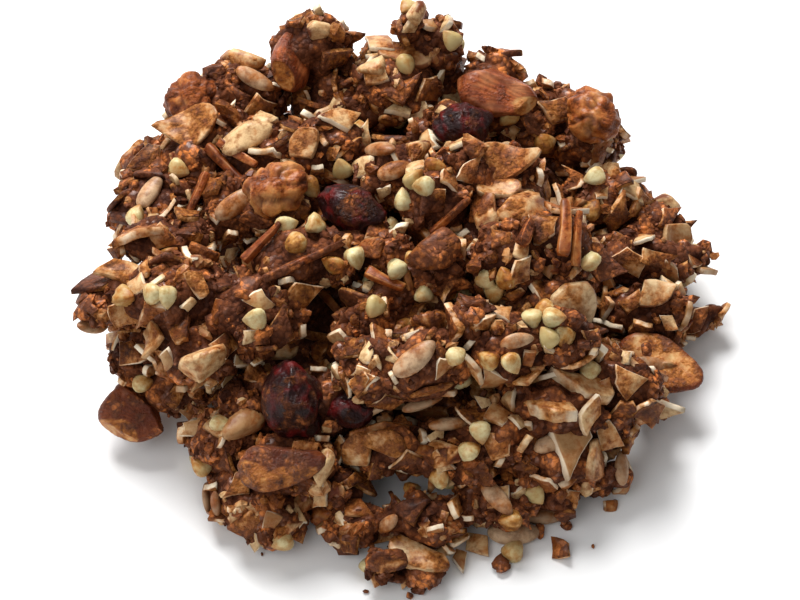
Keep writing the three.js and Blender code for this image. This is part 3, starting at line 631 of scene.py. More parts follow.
def made(name, material, points, faces, smooth=True, node="granola_heap", slot="granola", **marks):
    """One mesh from copies of a shape, with points of (copies, corners, 3) in mm. Each mark is a value for
    each copy or each corner, which the material reads. Faces that point inwards are turned round."""
    copies, corners = points.shape[:2]
    first = points[0][faces] - points[0].mean(0)
    if np.einsum("fi,fi->", first[:, 0], np.cross(first[:, 1], first[:, 2])) < 0:
        faces = faces[:, ::-1]
    place = (points - MIDDLE) * MM
    place[..., 2] = np.maximum(place[..., 2], FLOOR_GAP)
    loops = (faces + corners * np.arange(copies)[:, None, None]).ravel()
    mesh = bpy.data.meshes.new(name)
    mesh.vertices.add(copies * corners)
    mesh.vertices.foreach_set("co", place.astype(np.float32).ravel())
    mesh.loops.add(len(loops))
    mesh.loops.foreach_set("vertex_index", loops.astype(np.int32))
    mesh.polygons.add(len(loops) // 3)
    mesh.polygons.foreach_set("loop_start", np.arange(0, len(loops), 3, dtype=np.int32))
    mesh.polygons.foreach_set("use_smooth", np.full(len(loops) // 3, smooth))
    for label, values in marks.items():
        values = np.asarray(values, dtype=np.float32)
        values = np.broadcast_to(values if values.ndim == 2 else values[:, None], (copies, corners))
        layer = mesh.attributes.new(label, "FLOAT", "POINT")
        layer.data.foreach_set("value", np.ascontiguousarray(values).ravel())
    mesh.update(calc_edges=True)
    mesh.materials.append(material)
    piece = bpy.data.objects.new(name, mesh)
    bpy.context.scene.collection.objects.link(piece)
    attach(piece, "root")
    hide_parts(node)


# ---- Materials -----------------------------------------------------------------------------------


def colour(red, green, blue):
    """A colour given as it looks on a screen, from 0 to 255, as the linear one that a shader takes."""
    shown = np.array([red, green, blue]) / 255
    linear = np.where(shown <= 0.04045, shown / 12.92, ((shown + 0.055) / 1.055) ** 2.4)
    return (*linear.tolist(), 1.0)


def add_node(tree, kind, inputs=None, **settings):
    """Adds a node with its settings. Each input is a value to set or another node's output to link."""
    node = tree.nodes.new(kind)
    for key, value in settings.items():
        setattr(node, key, value)
    for key, value in (inputs or {}).items():
        if isinstance(value, bpy.types.NodeSocket):
            tree.links.new(value, node.inputs[key])
        else:
            node.inputs[key].default_value = value
    return node


def mix(tree, factor, low, high, blend="MIX"):
    """A colour between two, or another blend of them."""
    inputs = {0: factor, 6: low, 7: high}
    return add_node(tree, "ShaderNodeMix", inputs, data_type="RGBA", blend_type=blend).outputs[2]


def maths(tree, operation, *values):
    """One of Blender's sums on values that change over the surface."""
    return add_node(tree, "ShaderNodeMath", dict(enumerate(values)), operation=operation).outputs[0]


def line(tree, value, times, more):
    """value * times + more."""
    return maths(tree, "MULTIPLY_ADD", value, times, more)


def between(tree, value, low, high, to_low=0.0, to_high=1.0):
    """A value carried smoothly from one range to another, and held at its ends."""
    inputs = {"Value": value, "From Min": low, "From Max": high, "To Min": to_low, "To Max": to_high}
    return add_node(tree, "ShaderNodeMapRange", inputs, interpolation_type="SMOOTHSTEP").outputs["Result"]


def noise_at(tree, size, detail, roughness=0.55):
    """Noise in the piece's own coordinates, with features of a size in mm."""
    where = add_node(tree, "ShaderNodeTexCoord").outputs["Object"]
    inputs = {"Vector": where, "Scale": 1 / (size * MM), "Detail": detail, "Roughness": roughness}
    return add_node(tree, "ShaderNodeTexNoise", inputs).outputs["Fac"]


def mark(tree, name):
    """A value that the mesh carries."""
    return add_node(tree, "ShaderNodeAttribute", attribute_name=name).outputs["Fac"]


def new_group(name, inputs, outputs):
    """An empty shader group with named inputs and outputs."""
    tree = bpy.data.node_groups.new(name, "ShaderNodeTree")
    for socket, value in inputs.items():
        made_socket = tree.interface.new_socket(socket, in_out="INPUT", socket_type="NodeSocketFloat")
        made_socket.default_value = value
    for socket in outputs:
        tree.interface.new_socket(socket, in_out="OUTPUT", socket_type="NodeSocketFloat")
    return tree, add_node(tree, "NodeGroupInput"), add_node(tree, "NodeGroupOutput")


def place_group(tree, group, inputs):
    """Places a group in a material, with its inputs set or linked."""
    return add_node(tree, "ShaderNodeGroup", inputs, node_tree=group).outputs


def smear_group():
    """Syrup smeared over a piece: Thin is 1 wherever it reaches, Thick where it is opaque, and Height is
    its depth."""
    tree, given, out = new_group("syrup smear", {"Coat": 0.5}, ("Thin", "Thick", "Height"))
    both = line(tree, noise_at(tree, 4.2, 3.0, 0.6), 0.75, 0.0)
    both = line(tree, noise_at(tree, 0.8, 4.0, 0.7), 0.25, both)
    # The noise lies between about 0.3 and 0.7, and the edge of the smear moves across that range.
    edge = line(tree, given.outputs["Coat"], -0.46, 0.72)
    depth = maths(tree, "SUBTRACT", both, edge)
    tree.links.new(between(tree, depth, -0.2, 0.06), out.inputs["Thin"])
    tree.links.new(between(tree, depth, -0.02, 0.16), out.inputs["Thick"])
    tree.links.new(between(tree, depth, -0.05, 0.2), out.inputs["Height"])
    return tree


def crumb_group():
    """Baked crumb in grains of about 1 mm, bent by noise. Shade and Gloss differ from grain to grain, and
    Height is round on each grain. Shade also holds painted shading: lighter on the rises and darker in the
    hollows of the relief mark that comes in, and darker towards the edge of each grain."""
    tree, given, out = new_group("baked crumb", {"Tone": 0.5, "Painted Relief Shading": 0.5}, ("Shade", "Gloss", "Height"))
    where = add_node(tree, "ShaderNodeTexCoord").outputs["Object"]
    sway = add_node(tree, "ShaderNodeTexNoise", {"Vector": where, "Scale": 1 / (1.5 * MM), "Detail": 2.0})
    bend = {0: sway.outputs["Color"], 1: (0.8 * MM,) * 3, 2: where}
    bent = add_node(tree, "ShaderNodeVectorMath", bend, operation="MULTIPLY_ADD")
    grain = add_node(tree, "ShaderNodeTexVoronoi", {"Vector": bent.outputs[0], "Scale": 1 / (0.95 * MM)})
    split = add_node(tree, "ShaderNodeSeparateColor", {0: grain.outputs["Color"]})
    fine = noise_at(tree, 0.35, 3.0, 0.7)
    shade = line(tree, split.outputs[0], 0.4, -0.93)
    for value, times in (
        (noise_at(tree, 4.5, 3.0), 1.3),
        (fine, 0.35),
        (given.outputs["Tone"], 0.35),
        # painted light on the rises of the relief, painted shade in its hollows
        (given.outputs["Painted Relief Shading"], 0.65),
        # painted shade towards the edge of each grain, where the bump is low
        (grain.outputs["Distance"], -0.35),
    ):
        shade = line(tree, value, times, shade)
    tree.links.new(shade, out.inputs["Shade"])
    tree.links.new(between(tree, split.outputs[1], 0.35, 0.9), out.inputs["Gloss"])
    height = line(tree, grain.outputs["Distance"], -1.0, line(tree, fine, 0.35, 1.0))
    tree.links.new(height, out.inputs["Height"])
    return tree


SMEAR = smear_group()
CRUMB = crumb_group()

# The shade that picks these colours carries painted relief shading. CRUMB_DARK stands partly for painted
# shade in hollows, and CRUMB_LIGHT partly for painted light on rises.
CRUMB_DARK = colour(54, 23, 10)
CRUMB_MID = colour(100, 54, 30)
CRUMB_LIGHT = colour(206, 122, 62)
STICKY = {"Specular_IOR_Level": 0.12, "Coat_Roughness": 0.28}  # dull, under spots of shiny syrup
SYRUP = colour(220, 160, 92)  # what a thin film of it leaves of the colour under it


def new_material(name, **fixed):
    """A material, with the values that are the same all over set on its shader."""
    material = bpy.data.materials.new(name)
    material.use_nodes = True
    shader = material.node_tree.nodes["Principled BSDF"]
    for key, value in fixed.items():
        shader.inputs[key.replace("_", " ")].default_value = value
    return material, material.node_tree, shader


def finish_surface(tree, shader, base, roughness, height, depth):
    """Links a colour, a roughness and a height, with its depth in mm, to a shader."""
    normal = add_node(tree, "ShaderNodeBump", {"Height": height, "Distance": depth * MM}).outputs["Normal"]
    tree.links.new(base, shader.inputs["Base Color"])
    tree.links.new(roughness, shader.inputs["Roughness"])
    tree.links.new(normal, shader.inputs["Normal"])


def crumb_colour(tree, shade):
    """Dark, middle or light crumb by its shade."""
    low = mix(tree, between(tree, shade, -0.1, 0.5), CRUMB_DARK, CRUMB_MID)
    return mix(tree, between(tree, shade, 0.45, 1.0), low, CRUMB_LIGHT)


def paste_material():
    """Crumb and cocoa baked with syrup, with wet grains: painted shade makes it dark in its hollows, and
    painted light makes it orange-brown on its rises.
    """
    material, tree, shader = new_material("baked_crumb", **STICKY)
    # The relief mark paints shade into the hollows and light onto the rises.
    crumb = place_group(tree, CRUMB, {"Tone": mark(tree, "tone"), "Painted Relief Shading": mark(tree, "rise")})
    gloss = between(tree, crumb["Gloss"], 0, 1, 0.8, 0.55)
    finish_surface(tree, shader, crumb_colour(tree, crumb["Shade"]), gloss, crumb["Height"], 0.4)
    lit = between(tree, crumb["Shade"], 0.1, 0.6, 0.0, 0.5)
    wet = maths(tree, "MULTIPLY", crumb["Gloss"], lit)
    tree.links.new(wet, shader.inputs["Coat Weight"])
    return material


def smeared(tree, base, coat, tone):
    """A colour under a film of syrup that darkens it, and under opaque syrup with crumb in it."""
    smear = place_group(tree, SMEAR, {"Coat": coat})
    crumb = place_group(tree, CRUMB, {"Tone": tone, "Painted Relief Shading": 0.5})
    film = mix(tree, smear["Thin"], base, SYRUP, "MULTIPLY")
    both = mix(tree, smear["Thick"], film, crumb_colour(tree, crumb["Shade"]))
    grain = maths(tree, "MULTIPLY", smear["Thick"], crumb["Height"])
    return both, smear["Thick"], line(tree, grain, 1.2, smear["Height"])


def flesh_material(name, pale, deep, rim, grain=0.35, depth=0.25, gloss=0.5):
    """Nut, seed or coconut flesh, pale or deeper in patches, with a rim of its own and smears of syrup that
    are thinner at the edges. The grain and its depth are in mm."""
    material, tree, shader = new_material(name, **STICKY)
    pale, deep, rim = (colour(*shown) for shown in (pale, deep, rim))
    base = mix(tree, between(tree, noise_at(tree, 1.8, 5.0, 0.65), 0.4, 0.7), pale, deep)
    base = mix(tree, between(tree, mark(tree, "tone"), 0.4, 1.0, 0.0, 0.8), base, deep)
    base = mix(tree, mark(tree, "rim"), base, rim)
    coat = line(tree, mark(tree, "edge"), -0.35, mark(tree, "coat"))
    base, thick, height = smeared(tree, base, coat, mark(tree, "tone"))
    height = line(tree, noise_at(tree, grain, 3.0), 0.3, height)
    finish_surface(tree, shader, base, between(tree, thick, 0, 1, gloss, 0.6), height, depth)
    tree.links.new(between(tree, thick, 0.0, 0.6, 0.2, 0.1), shader.inputs["Coat Weight"])
    return material


def berry_material():
    """Dried cranberry: deep red, glossy, with a thin clear coat and a dusting of crumb, and near black in its
    creases by painted shade.
    """
    material, tree, shader = new_material("dried_cranberry", Specular_IOR_Level=0.15, Coat_Roughness=0.15)
    patch = between(tree, noise_at(tree, 5.0, 3.0), 0.35, 0.65)
    skin = mix(tree, patch, colour(104, 24, 24), colour(62, 20, 22))
    # painted shade: near black in the creases
    skin = mix(tree, between(tree, mark(tree, "rise"), 0.2, 0.9), colour(36, 10, 13), skin)
    base, thick, height = smeared(tree, skin, 0.45, 0.6)
    height = line(tree, noise_at(tree, 0.8, 3.0), 1.2, height)
    finish_surface(tree, shader, base, between(tree, thick, 0, 1, 0.4, 0.7), height, 0.4)
    tree.links.new(between(tree, thick, 0, 0.7, 0.16, 0.0), shader.inputs["Coat Weight"])
    return material


def almond_material():
    """Almond skin: brown with fine darker ridges along it, and cream flesh where it is broken."""
    material, tree, shader = new_material("almond_skin", Specular_IOR_Level=0.25)
    patch = between(tree, noise_at(tree, 4.0, 3.0), 0.35, 0.65)
    skin = mix(tree, patch, colour(184, 116, 72), colour(134, 76, 44))
    skin = mix(tree, line(tree, mark(tree, "tone"), 0.8, 0.0), skin, colour(78, 38, 22))
    skin = mix(tree, line(tree, mark(tree, "ridge"), 0.5, 0.0), skin, colour(66, 34, 20))
    pale = between(tree, noise_at(tree, 2.0, 3.0), 0.4, 0.6)
    flesh = mix(tree, pale, colour(214, 180, 126), colour(186, 146, 94))
    base = mix(tree, mark(tree, "rim"), skin, flesh)
    base, _, height = smeared(tree, base, mark(tree, "coat"), 0.5)
    height = line(tree, noise_at(tree, 0.4, 3.0), 0.4, height)
    gloss = between(tree, noise_at(tree, 1.5, 3.0), 0.4, 0.65, 0.36, 0.6)
    finish_surface(tree, shader, base, gloss, height, 0.2)
    return material


PASTE = paste_material()
NUT = flesh_material("nut_flesh", (204, 170, 124), (144, 96, 54), (104, 54, 28), depth=0.35)
FLAKE = flesh_material("flake_flesh", (206, 174, 128), (144, 98, 54), (230, 214, 188), depth=0.35)
SLICED = flesh_material("sliced_almond", (206, 178, 136), (152, 112, 70), (112, 62, 34), depth=0.3)
GROAT = flesh_material("buckwheat", (208, 196, 150), (176, 152, 98), (166, 112, 60), 0.25, 0.1)
KERNEL = flesh_material("sunflower", (190, 158, 124), (140, 108, 80), (112, 80, 56), 0.2, 0.1)
STICK = flesh_material("nut_sliver", (186, 128, 72), (134, 78, 40), (98, 52, 26), 0.3, 0.25)
WALNUT = flesh_material("walnut", (182, 126, 72), (130, 78, 42), (82, 40, 20), 0.4, 0.35, 0.45)
BERRY = berry_material()
ALMOND = almond_material()


# ---- Grains, plates and chopped pieces -----------------------------------------------------------


def joined(places, more):
    """Two sets of places as one: seats, turns, lengths and coats."""
    return [np.concatenate(pair) for pair in zip(places, more)]


def coated(places, coat, seed):
    """Scattered places with coats drawn from a range."""
    coats = np.random.default_rng(seed).random(len(places[0]))
    return (*places, coat[0] + (coat[1] - coat[0]) * coats)


def draws(count, seed):
    """Even random numbers from 0 to 1, four for each piece, as four arrays of (pieces, 1)."""
    return np.random.default_rng(seed).random((4, count, 1))


def grains(name, material, places, seed, rows, columns, width, flat, lobe, blunt, tip):
    """Grains pointed at one end. Along t from 0 to 1 the radius is t^blunt (1 - t)^tip over its greatest,
    swelled round the grain by a share of cos(3 angle), and pressed flat by a share."""
    seat, turn, length, coat = places
    row, angle, faces = round_grid(rows, columns)
    t = (1 - np.cos(np.pi * row / rows)) / 2
    peak = blunt / (blunt + tip)
    radius = (t / peak) ** blunt * ((1 - t) / (1 - peak)) ** tip / 2
    swell, girth, bow, tone = draws(len(seat), seed)
    radius = radius * (1 + lobe * (0.7 + 0.6 * swell) * np.cos(3 * angle)) * width * (0.9 + 0.2 * girth)
    shapes = np.stack([
        np.broadcast_to(t - 0.5, radius.shape),
        radius * np.cos(angle) + 0.1 * (bow - 0.5) * np.sin(np.pi * t),
        radius * np.sin(angle) * flat,
    ], -1) * length[:, None, None]
    germ = np.broadcast_to(0.7 * np.clip(3 * t - 2.1, 0, 1), radius.shape)
    made(name, material, carried(shapes, seat, turn), faces, coat=coat, tone=tone, rim=germ)


# Profiles of flat pieces from the middle of the top to the middle of the underside: radii, and heights.
CURVED = (
    np.array([0, 0.5, 0.91, 0.99, 1, 0.99, 0.91, 0.5, 0]),
    np.array([1, 1, 1, 0.8, 0, -0.8, -1, -1, -1]) / 2,
)
FLAT = (
    np.array([0, 0.94, 1, 1, 0.94, 0]),
    np.array([1, 1, 0.7, -0.7, -1, -1]) / 2,
)


def whole_outline(angle, width, taper, breaks, count, rng):
    """Outlines of sliced nuts: an oval (cos a, width sin a (1 - taper cos a)), uneven and cut by straight
    breaks at random. Gives their points, and where they aren't cut."""
    oval = np.stack([np.cos(angle), width * np.sin(angle) * (1 - taper * np.cos(angle))], -1)
    wave = rng.uniform(0, 2 * np.pi, (3, count, 1))
    uneven = 0.05 * sum(np.sin((k + 2) * angle + wave[k]) for k in range(3))
    oval = oval * (1 + uneven)[..., None]
    keep = np.ones((count, len(angle)))
    for _ in range(breaks):
        way = rng.uniform(0, 2 * np.pi, (count, 1))
        reach = oval[..., 0] * np.cos(way) + oval[..., 1] * np.sin(way)
        limit = rng.uniform(0.35, 0.95, (count, 1)) * (width + (1 - width) * np.abs(np.cos(way)))
        keep = np.minimum(keep, limit / np.maximum(reach, limit))
    return oval * keep[..., None], keep > 0.97


def broken_outline(angle, columns, width, count, rng):
    """Outlines broken on four sides, each a line between two corners that lie unevenly round an oval,
    bowed and notched a little. Gives their points."""
    column = np.rint(angle * columns / (2 * np.pi)).astype(int)
    side = column * 4 // columns
    share = column * 4 / columns - side
    bearing = (np.arange(4) + rng.uniform(-0.32, 0.32, (count, 4))) * np.pi / 2
    reach = rng.uniform(0.6, 1.15, (count, 4))
    corner = np.stack([reach * np.cos(bearing), reach * width * np.sin(bearing)], -1)
    after = np.roll(corner, -1, axis=1)
    bow = rng.normal(0, 0.1, (count, 4))[:, side] * 4 * share * (1 - share)
    notch = rng.normal(0, 0.035, (count, columns))[:, column]
    points = corner[:, side] * (1 - share)[:, None] + after[:, side] * share[:, None]
    return points * (1 + bow + notch)[..., None]


def plates(name, material, places, seed, columns, width, thick, curl, profile, taper=0, breaks=0):
    """Flat pieces with a thick edge, in mm. The face curls as the square of the length, and twists. With no
    breaks given, a piece is broken all round. The edge is bare in patches, which have the rim's colour
    except along the breaks of a whole outline."""
    radii, heights = profile
    seat, turn, length, coat = places
    row, angle, faces = round_grid(len(radii) - 1, columns)
    rng = np.random.default_rng(seed)
    count = len(seat)
    if breaks:
        outline, rimmed = whole_outline(angle, width, taper, breaks, count, rng)
    else:
        outline, rimmed = broken_outline(angle, columns, width, count, rng), 1
    bend = curl * rng.normal(size=(count, 1))
    twist = 0.2 * rng.normal(size=(count, 1))
    x, y = np.moveaxis(outline * radii[row][:, None], -1, 0)
    half = length[:, None] / 2
    z = half * (bend * x**2 + twist * x * y) + thick * (0.7 + 0.6 * rng.random((count, 1))) * heights[row]
    own = 90 * rng.random((count, 1))  # a stretch of the noise of its own for each piece
    z = z + 0.25 * noise(np.stack(np.broadcast_arrays(x * half, y * half, own), -1), 2.0, seed)
    ring = np.broadcast_arrays(2.2 * np.cos(angle) + own, 2.2 * np.sin(angle), 0.0)
    bare = np.clip(rng.random((count, 1)) + 0.9 * noise(np.stack(ring, -1), 1.6, seed + 1), 0, 1)
    edge = np.where(np.abs(heights[row]) < 0.45, bare, 0)
    shapes = np.stack([x * half, y * half, z], -1)
    made(
        name, material, carried(shapes, seat, turn), faces,
        coat=coat, tone=rng.random(count), edge=edge, rim=edge * rimmed,
    )


def slivers(name, material, places, seed, rows=12, columns=16):
    """Split sticks. Round the stick the section is a square with round corners, (|cos a|^0.4, |sin a|^0.4),
    and along t it is (1 - |2 t - 1|^8)^(1/8), narrower towards one end, bowed and rough. Streaks run along
    it, and its corners are bare."""
    seat, turn, length, coat = places
    row, angle, faces = round_grid(rows, columns)
    t = (1 - np.cos(np.pi * row / rows)) / 2
    girth, bow, dip, tone = draws(len(seat), seed)
    half = length[:, None] / 2
    x = (2 * t - 1) * half
    radius = (1 - np.abs(2 * t - 1) ** 8) ** (1 / 8) * (1 - 0.3 * t) * (0.75 + 0.4 * girth)
    y = radius * 1.15 * np.sign(np.cos(angle)) * np.abs(np.cos(angle)) ** 0.4
    z = radius * 0.8 * np.sign(np.sin(angle)) * np.abs(np.sin(angle)) ** 0.4
    where = np.stack([x / 3.5, y + 40 * bow, z + 40 * dip], -1)
    streak = noise(where, 0.7, seed + 2)
    y = y + 0.22 * noise(where, 1.1, seed) + (bow - 0.5) * 0.08 * x**2 / half
    z = z + 0.2 * noise(where, 1.1, seed + 1) + 0.1 * streak + (dip - 0.5) * 0.08 * x**2 / half
    corners = np.abs(np.sin(2 * angle)) ** 6 * (0.5 + girth)
    made(
        name, material, carried(np.stack([x, y, z], -1), seat, turn), faces,
        coat=coat, tone=tone, rim=np.clip(2 * streak, 0, 0.8), edge=corners,
    )


def chunks(name, material, places, seed, steps, planes, nearest, width, thick, smooth=False):
    """Chopped pieces: a ball cut by random planes, blended as 1 / (sum of (cos / distance)^14)^(1/14).
    The first plane keeps the nut's brown skin, and an edge is where two planes are about as near."""
    seat, turn, length, coat = places
    ball, faces = ball_grid(steps)
    rng = np.random.default_rng(seed)
    count = len(seat)
    ways = unit(rng.normal(size=(count, planes, 3)))
    far = rng.uniform(nearest, 1.0, (count, planes, 1))
    near = (np.maximum(np.einsum("pki,vi->pkv", ways, ball), 0) / far) ** 14
    total = near.sum(1)
    skin = np.clip(3 * near[:, 0] / total - 1, 0, 1)
    edge = np.clip(2.5 - 2.5 * near.max(1) / total, 0, 1)
    shapes = ball * np.minimum(total ** (-1 / 14), 1.3)[..., None]
    shapes = shapes * (1 + 0.03 * noise(shapes + 9 * rng.random((count, 1, 3)), 0.5, seed))[..., None]
    shapes = shapes * np.array([1, width, thick]) * (0.85 + 0.3 * rng.random((count, 1, 3)))
    shapes = shapes * length[:, None, None] / 2
    # On the pressed crumb blocks the relief mark paints light along the edges and shade on the faces.
    made(
        name, material, carried(shapes, seat, turn), faces, smooth,
        coat=coat, tone=rng.random(count), rim=skin, edge=edge, rise=0.1 + 0.8 * edge,
    )


def walnuts(name, material, places, seed):
    """Broken walnut kernels: a ball with lobes, which are nuggets 0.6 of its half size across, and narrow
    folds where noise passes through 0."""
    seat, turn, length, coat = places
    ball, faces = ball_grid(40)
    ball = ball * np.array([1, 0.85, 0.7])
    rng = np.random.default_rng(seed)
    count = len(seat)
    where = ball + rng.uniform(0, 90, (count, 1, 3))
    fold = np.clip(1 - 4 * np.abs(noise(where, 0.5, seed)), 0, 1)
    height = 0.3 * nuggets(where, 0.6, seed) - 0.12 * fold + 0.08 * noise(where, 0.25, seed + 1)
    shapes = ball * (0.72 + height)[..., None] * length[:, None, None] / 2
    made(
        name, material, carried(shapes, seat, turn), faces,
        coat=coat, tone=rng.random(count), rim=0.8 * fold,
    )


def all_places():
    """Where the larger pieces of each kind lie: first those that show, then more where the front doesn't
    reach, and then the broken pieces all over the heap."""
    large = (*BERRIES.values(), *ALMONDS.values())
    middles = np.array([row[0] for row in large], dtype=float)
    room.take(middles, np.array([BERRY_REACH * max(row[1]) for row in large]))
    places = {kind: seen_places(rows, sink, flat) for kind, (rows, sink, flat) in LYING.items()}
    for kind, (rows, share) in DOWN.items():
        places[kind] = joined(places[kind], on_the_floor(rows, share))
    for seat, _, length, _ in places.values():
        room.take(seat, PIECE_REACH * length)
    for kind, (seed, most, sizes, apart, tilt, coat) in UNSEEN.items():
        _, sink, flat = LYING[kind]
        more = scattered(seed, most, sizes, sink, apart, flat, unseen=True, tilt=tilt)
        places[kind] = joined(places[kind], coated(more, coat, seed))
    for kind, (seed, most, sizes, apart, tilt, sink, coat) in ALL_OVER.items():
        more = scattered(seed, most, sizes, sink, apart, flat=0.5, tilt=tilt)
        more = coated(more, coat, seed)
        places[kind] = joined(places[kind], more) if kind in places else more
    return places


# ---- Crumb ---------------------------------------------------------------------------------------


def cluster_paste(name, these, steps):
    """Lumps as balls carried to their ellipsoids and pushed out along their normals by the relief, with
    painted shade in its hollows and painted light on its rises.
    """
    ball, faces = ball_grid(steps)
    points = CENTRES[these, None] + np.einsum("lij,vj->lvi", SHAPES[these], ball)
    out = unit(np.einsum("lji,vj->lvi", UNSHAPES[these], ball))
    height = relief(points)
    # The relief mark paints shade into the hollows of the relief and light onto its rises.
    made(
        name, PASTE, points + out * height[..., None], faces,
        rise=np.clip(height / 2.4 + 0.4, 0, 1), tone=0.5 + 0.5 * noise(CENTRES[these], 6.0, 3),
    )


def crumbs(name, material, places, seed, steps, coat=(0, 0)):
    """Rough nuggets: balls with uneven sides, pushed in and out by two layers of noise, with coats drawn
    from a range. The crumb's material reads their relief mark as painted shade in the dents and painted
    light on the bumps."""
    seat, turn, length = places
    rng = np.random.default_rng(seed)
    count = len(seat)
    ball, faces = ball_grid(steps)
    where = ball + rng.uniform(0, 500, (count, 1, 3))
    height = 0.3 * noise(where, 0.9, seed) + 0.16 * noise(where, 0.4, seed + 1)
    sides = np.clip(1 + 0.25 * rng.normal(size=(count, 1, 3)), 0.55, 1.5)
    shapes = ball * sides * (1 + height)[..., None] * length[:, None, None] / 2
    # Painted shade where the noise pushes a nugget in, and painted light where it pushes it out.
    made(
        name, material, carried(shapes, seat, turn), faces, False,
        rise=np.clip(0.5 + height, 0, 1), tone=rng.random(count),
        coat=coat[0] + (coat[1] - coat[0]) * rng.random(count),
    )


# ---- Berries and almonds -------------------------------------------------------------------------

BIG_PIECE_STEPS = 56  # squares along the side of the grid


def standing(at, turn, lean):
    """A place turned about the upright and then tipped about its own length."""
    spin = upright_turns(np.array([turn]))
    angle = math.radians(lean)
    tip = np.array([[1, 0, 0], [0, math.cos(angle), -math.sin(angle)], [0, math.sin(angle), math.cos(angle)]])
    return np.array([at], dtype=float), spin @ tip


def berry(name, at, size, turn, lean):
    """A wrinkled ball: folds that run round it are sines of its height and bearing, and between them sharp
    creases are the absolute value of noise."""
    ball, faces = ball_grid(BIG_PIECE_STEPS)
    seed = len(name) + int(abs(at[0]) * 10)
    half = np.array(size) / 2
    bearing = np.arctan2(ball[:, 1], ball[:, 0])
    fold = 1 + 0.04 * np.sin(4 * bearing + 3 * ball[:, 2]) + 0.04 * np.sin(7 * ball[:, 2] + 2 * bearing)
    where = ball * half + seed
    crease = 1 - np.abs(noise(where, 2.8, seed)) * 1.3 - np.abs(noise(where, 1.3, seed + 1)) * 0.8
    points = ball * (fold - 0.06 * (1 - crease))[:, None] * half
    # The crease mark paints shade into the creases.
    made(
        name, BERRY, carried(points[None], *standing(at, turn, lean)), faces,
        node=name, slot="dried_cranberry", rise=np.clip(crease, 0, 1)[None],
    )


def almond(name, at, size, turn, lean, dark):
    """A flattened teardrop with fine ridges along it, sin(26 bearing), cut flat at a few places. A cut
    holds every direction's reach to the distance of its plane."""
    ball, faces = ball_grid(BIG_PIECE_STEPS)
    seed = len(name) + int(abs(at[0]) * 10)
    half = np.array(size) / 2
    taper = 1 - 0.28 * ball[:, 0]
    bearing = np.arctan2(ball[:, 2], ball[:, 1])
    sway = noise(ball * 3 + seed, 1.0, seed)
    ridge = 0.5 + 0.5 * np.sin(26 * bearing + 2.5 * sway)
    cuts = np.array([far / np.maximum(ball @ unit(np.array(way)), far) for way, far, _ in ALMOND_CUTS[name]])
    bare = np.array([[bare] for _, _, bare in ALMOND_CUTS[name]])
    flesh = np.clip(((1 - cuts) * bare).max(0) * 30 - 0.3, 0, 1)
    swell = 1 + 0.012 * ridge + 0.05 * noise(ball * 2 + seed, 1.0, seed + 2)
    swell = swell + 0.02 * noise(ball * 2, 0.3, seed)
    points = ball * np.stack([np.ones_like(taper), taper, taper], -1) * half * (swell * cuts.min(0))[:, None]
    made(
        name, ALMOND, carried(points[None], *standing(at, turn, lean)), faces,
        node=name, slot="almond_skin",
        ridge=ridge[None], rim=flesh[None], coat=[0.4 + 0.25 * dark], tone=[dark],
    )


# ---- Putting it together -------------------------------------------------------------------------

# The forms of the pieces, in the words of the functions that make them.
SLICE_FORM = dict(columns=24, width=0.62, thick=1.15, curl=0.25, profile=CURVED, taper=0.2, breaks=2)
FLAKE_FORM = dict(columns=12, width=0.74, thick=1.15, curl=0.25, profile=FLAT)
SLAB_FORM = dict(columns=28, width=0.62, thick=2.2, curl=0.12, profile=CURVED)
CHUNK_FORM = dict(steps=16, planes=11, nearest=0.6, width=0.8, thick=0.66, smooth=True)
SHARD_FORM = dict(steps=6, planes=7, nearest=0.35, width=0.75, thick=0.5)
KERNEL_FORM = dict(rows=12, columns=14, width=0.46, flat=0.6, lobe=0.05, blunt=0.45, tip=0.56)
GROAT_FORM = dict(rows=8, columns=12, width=0.82, flat=1.0, lobe=0.2, blunt=0.42, tip=0.85)

places = all_places()
cluster_paste("packed_core", slice(0, 1), 80)
cluster_paste("cluster_paste", slice(1, None), 32)
plates("almond_slices", SLICED, places["slices"], 41, **SLICE_FORM)
plates("broken_flakes", FLAKE, places["flakes"], 42, **FLAKE_FORM)
plates("thick_slabs", FLAKE, places["slabs"], 49, **SLAB_FORM)
chunks("nut_chunks", NUT, places["chunks"], 43, **CHUNK_FORM)
chunks("broken_shards", NUT, places["shards"], 47, **SHARD_FORM)
chunks("pressed_blocks", PASTE, places["blocks"], 48, **SHARD_FORM)
walnuts("walnut_pieces", WALNUT, places["walnuts"], 50)
slivers("nut_slivers", STICK, places["slivers"], 44)
grains("sunflower_kernels", KERNEL, places["kernels"], 45, **KERNEL_FORM)
grains("buckwheat_groats", GROAT, places["groats"], 46, **GROAT_FORM)

bits = scattered(52, 1600, (1.0, 3.0), sink=0.1, apart=0, flat=0.6)
nuggets_about = scattered(53, 900, (1.5, 3.6), sink=0.2, apart=0, patches=-0.3)
fine_crumbs = scattered(54, 4600, (0.7, 1.7), sink=0.1, apart=0, flat=0.3, patches=0.0)
fallen = on_the_floor(np.pad(CRUMBS_DOWN, ((0, 0), (0, 3))), 0.3)[:3]  # with no turn, lean or coat
crumbs("nut_bits", NUT, bits, 52, 4, (0.3, 1.1))
crumbs("paste_nuggets", PASTE, nuggets_about, 53, 5)
crumbs("paste_crumbs", PASTE, fine_crumbs, 54, 3)
crumbs("floor_crumbs", PASTE, fallen, 55, 6)
for name, row in BERRIES.items():
    berry(name, *row)
for name, row in ALMONDS.items():
    almond(name, *row)


# ---- The floor, the light and the camera ---------------------------------------------------------

FLOOR_HALF = 3.0  # metres
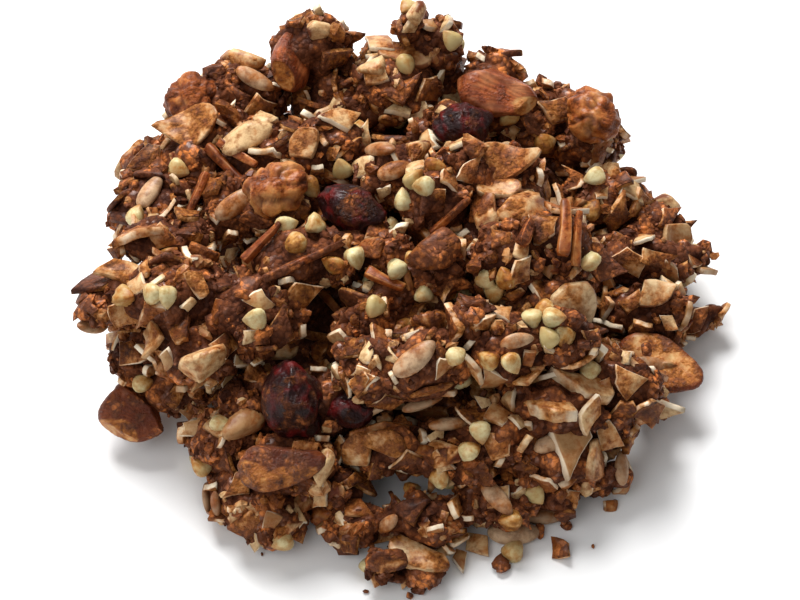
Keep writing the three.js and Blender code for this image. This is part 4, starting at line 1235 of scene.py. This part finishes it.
# Square lights: place and side in metres, and power in watts.
LIGHTS = {"key": ((-0.2, 0.58, 0.72), 0.5, 16.5), "fill": ((-0.5, -0.4, 0.65), 0.8, 3.2)}
STUDIO_LIGHT = 0.32
SENSOR_WIDTH = 36


def floor():
    """A plain pale floor under the heap."""
    material, tree, shader = new_material("pale_floor", Roughness=0.9)
    shade = mix(tree, noise_at(tree, 40, 2.0), colour(238, 238, 238), colour(244, 244, 244))
    tree.links.new(shade, shader.inputs["Base Color"])
    mesh = bpy.data.meshes.new("floor")
    corners = [(x * FLOOR_HALF, y * FLOOR_HALF, 0) for x, y in ((-1, -1), (1, -1), (1, 1), (-1, 1))]
    mesh.from_pydata(corners, [], [(0, 1, 2, 3)])
    mesh.materials.append(material)
    piece = bpy.data.objects.new("floor", mesh)
    bpy.context.scene.collection.objects.link(piece)


def soft_light(name, place, side, power):
    """A square light that faces the heap."""
    light = bpy.data.lights.new(name, "AREA")
    light.size = side
    light.energy = power
    piece = bpy.data.objects.new(name, light)
    piece.location = place
    piece.rotation_euler = (-Vector(place)).to_track_quat("-Z", "Y").to_euler()
    bpy.context.scene.collection.objects.link(piece)


def studio():
    """White light from all sides."""
    world = bpy.data.worlds.new("studio")
    world.use_nodes = True
    sky = world.node_tree.nodes["Background"]
    sky.inputs["Color"].default_value = (1, 1, 1, 1)
    sky.inputs["Strength"].default_value = STUDIO_LIGHT
    bpy.context.scene.world = world


def camera():
    """A long lens at the eye, looking along the line of sight."""
    lens = bpy.data.cameras.new("camera")
    lens.sensor_width = SENSOR_WIDTH
    lens.lens = FOCAL_PIXELS / PICTURE_WIDTH * SENSOR_WIDTH
    piece = bpy.data.objects.new("camera", lens)
    piece.matrix_world = Matrix(np.column_stack([RIGHT, UP, BACK]).tolist()).to_4x4()
    piece.location = (EYE - MIDDLE) * MM
    bpy.context.scene.collection.objects.link(piece)
    bpy.context.scene.camera = piece


floor()
camera()
for name, row in LIGHTS.items():
    soft_light(name, *row)
studio()
bpy.context.scene.view_settings.view_transform = "Standard"
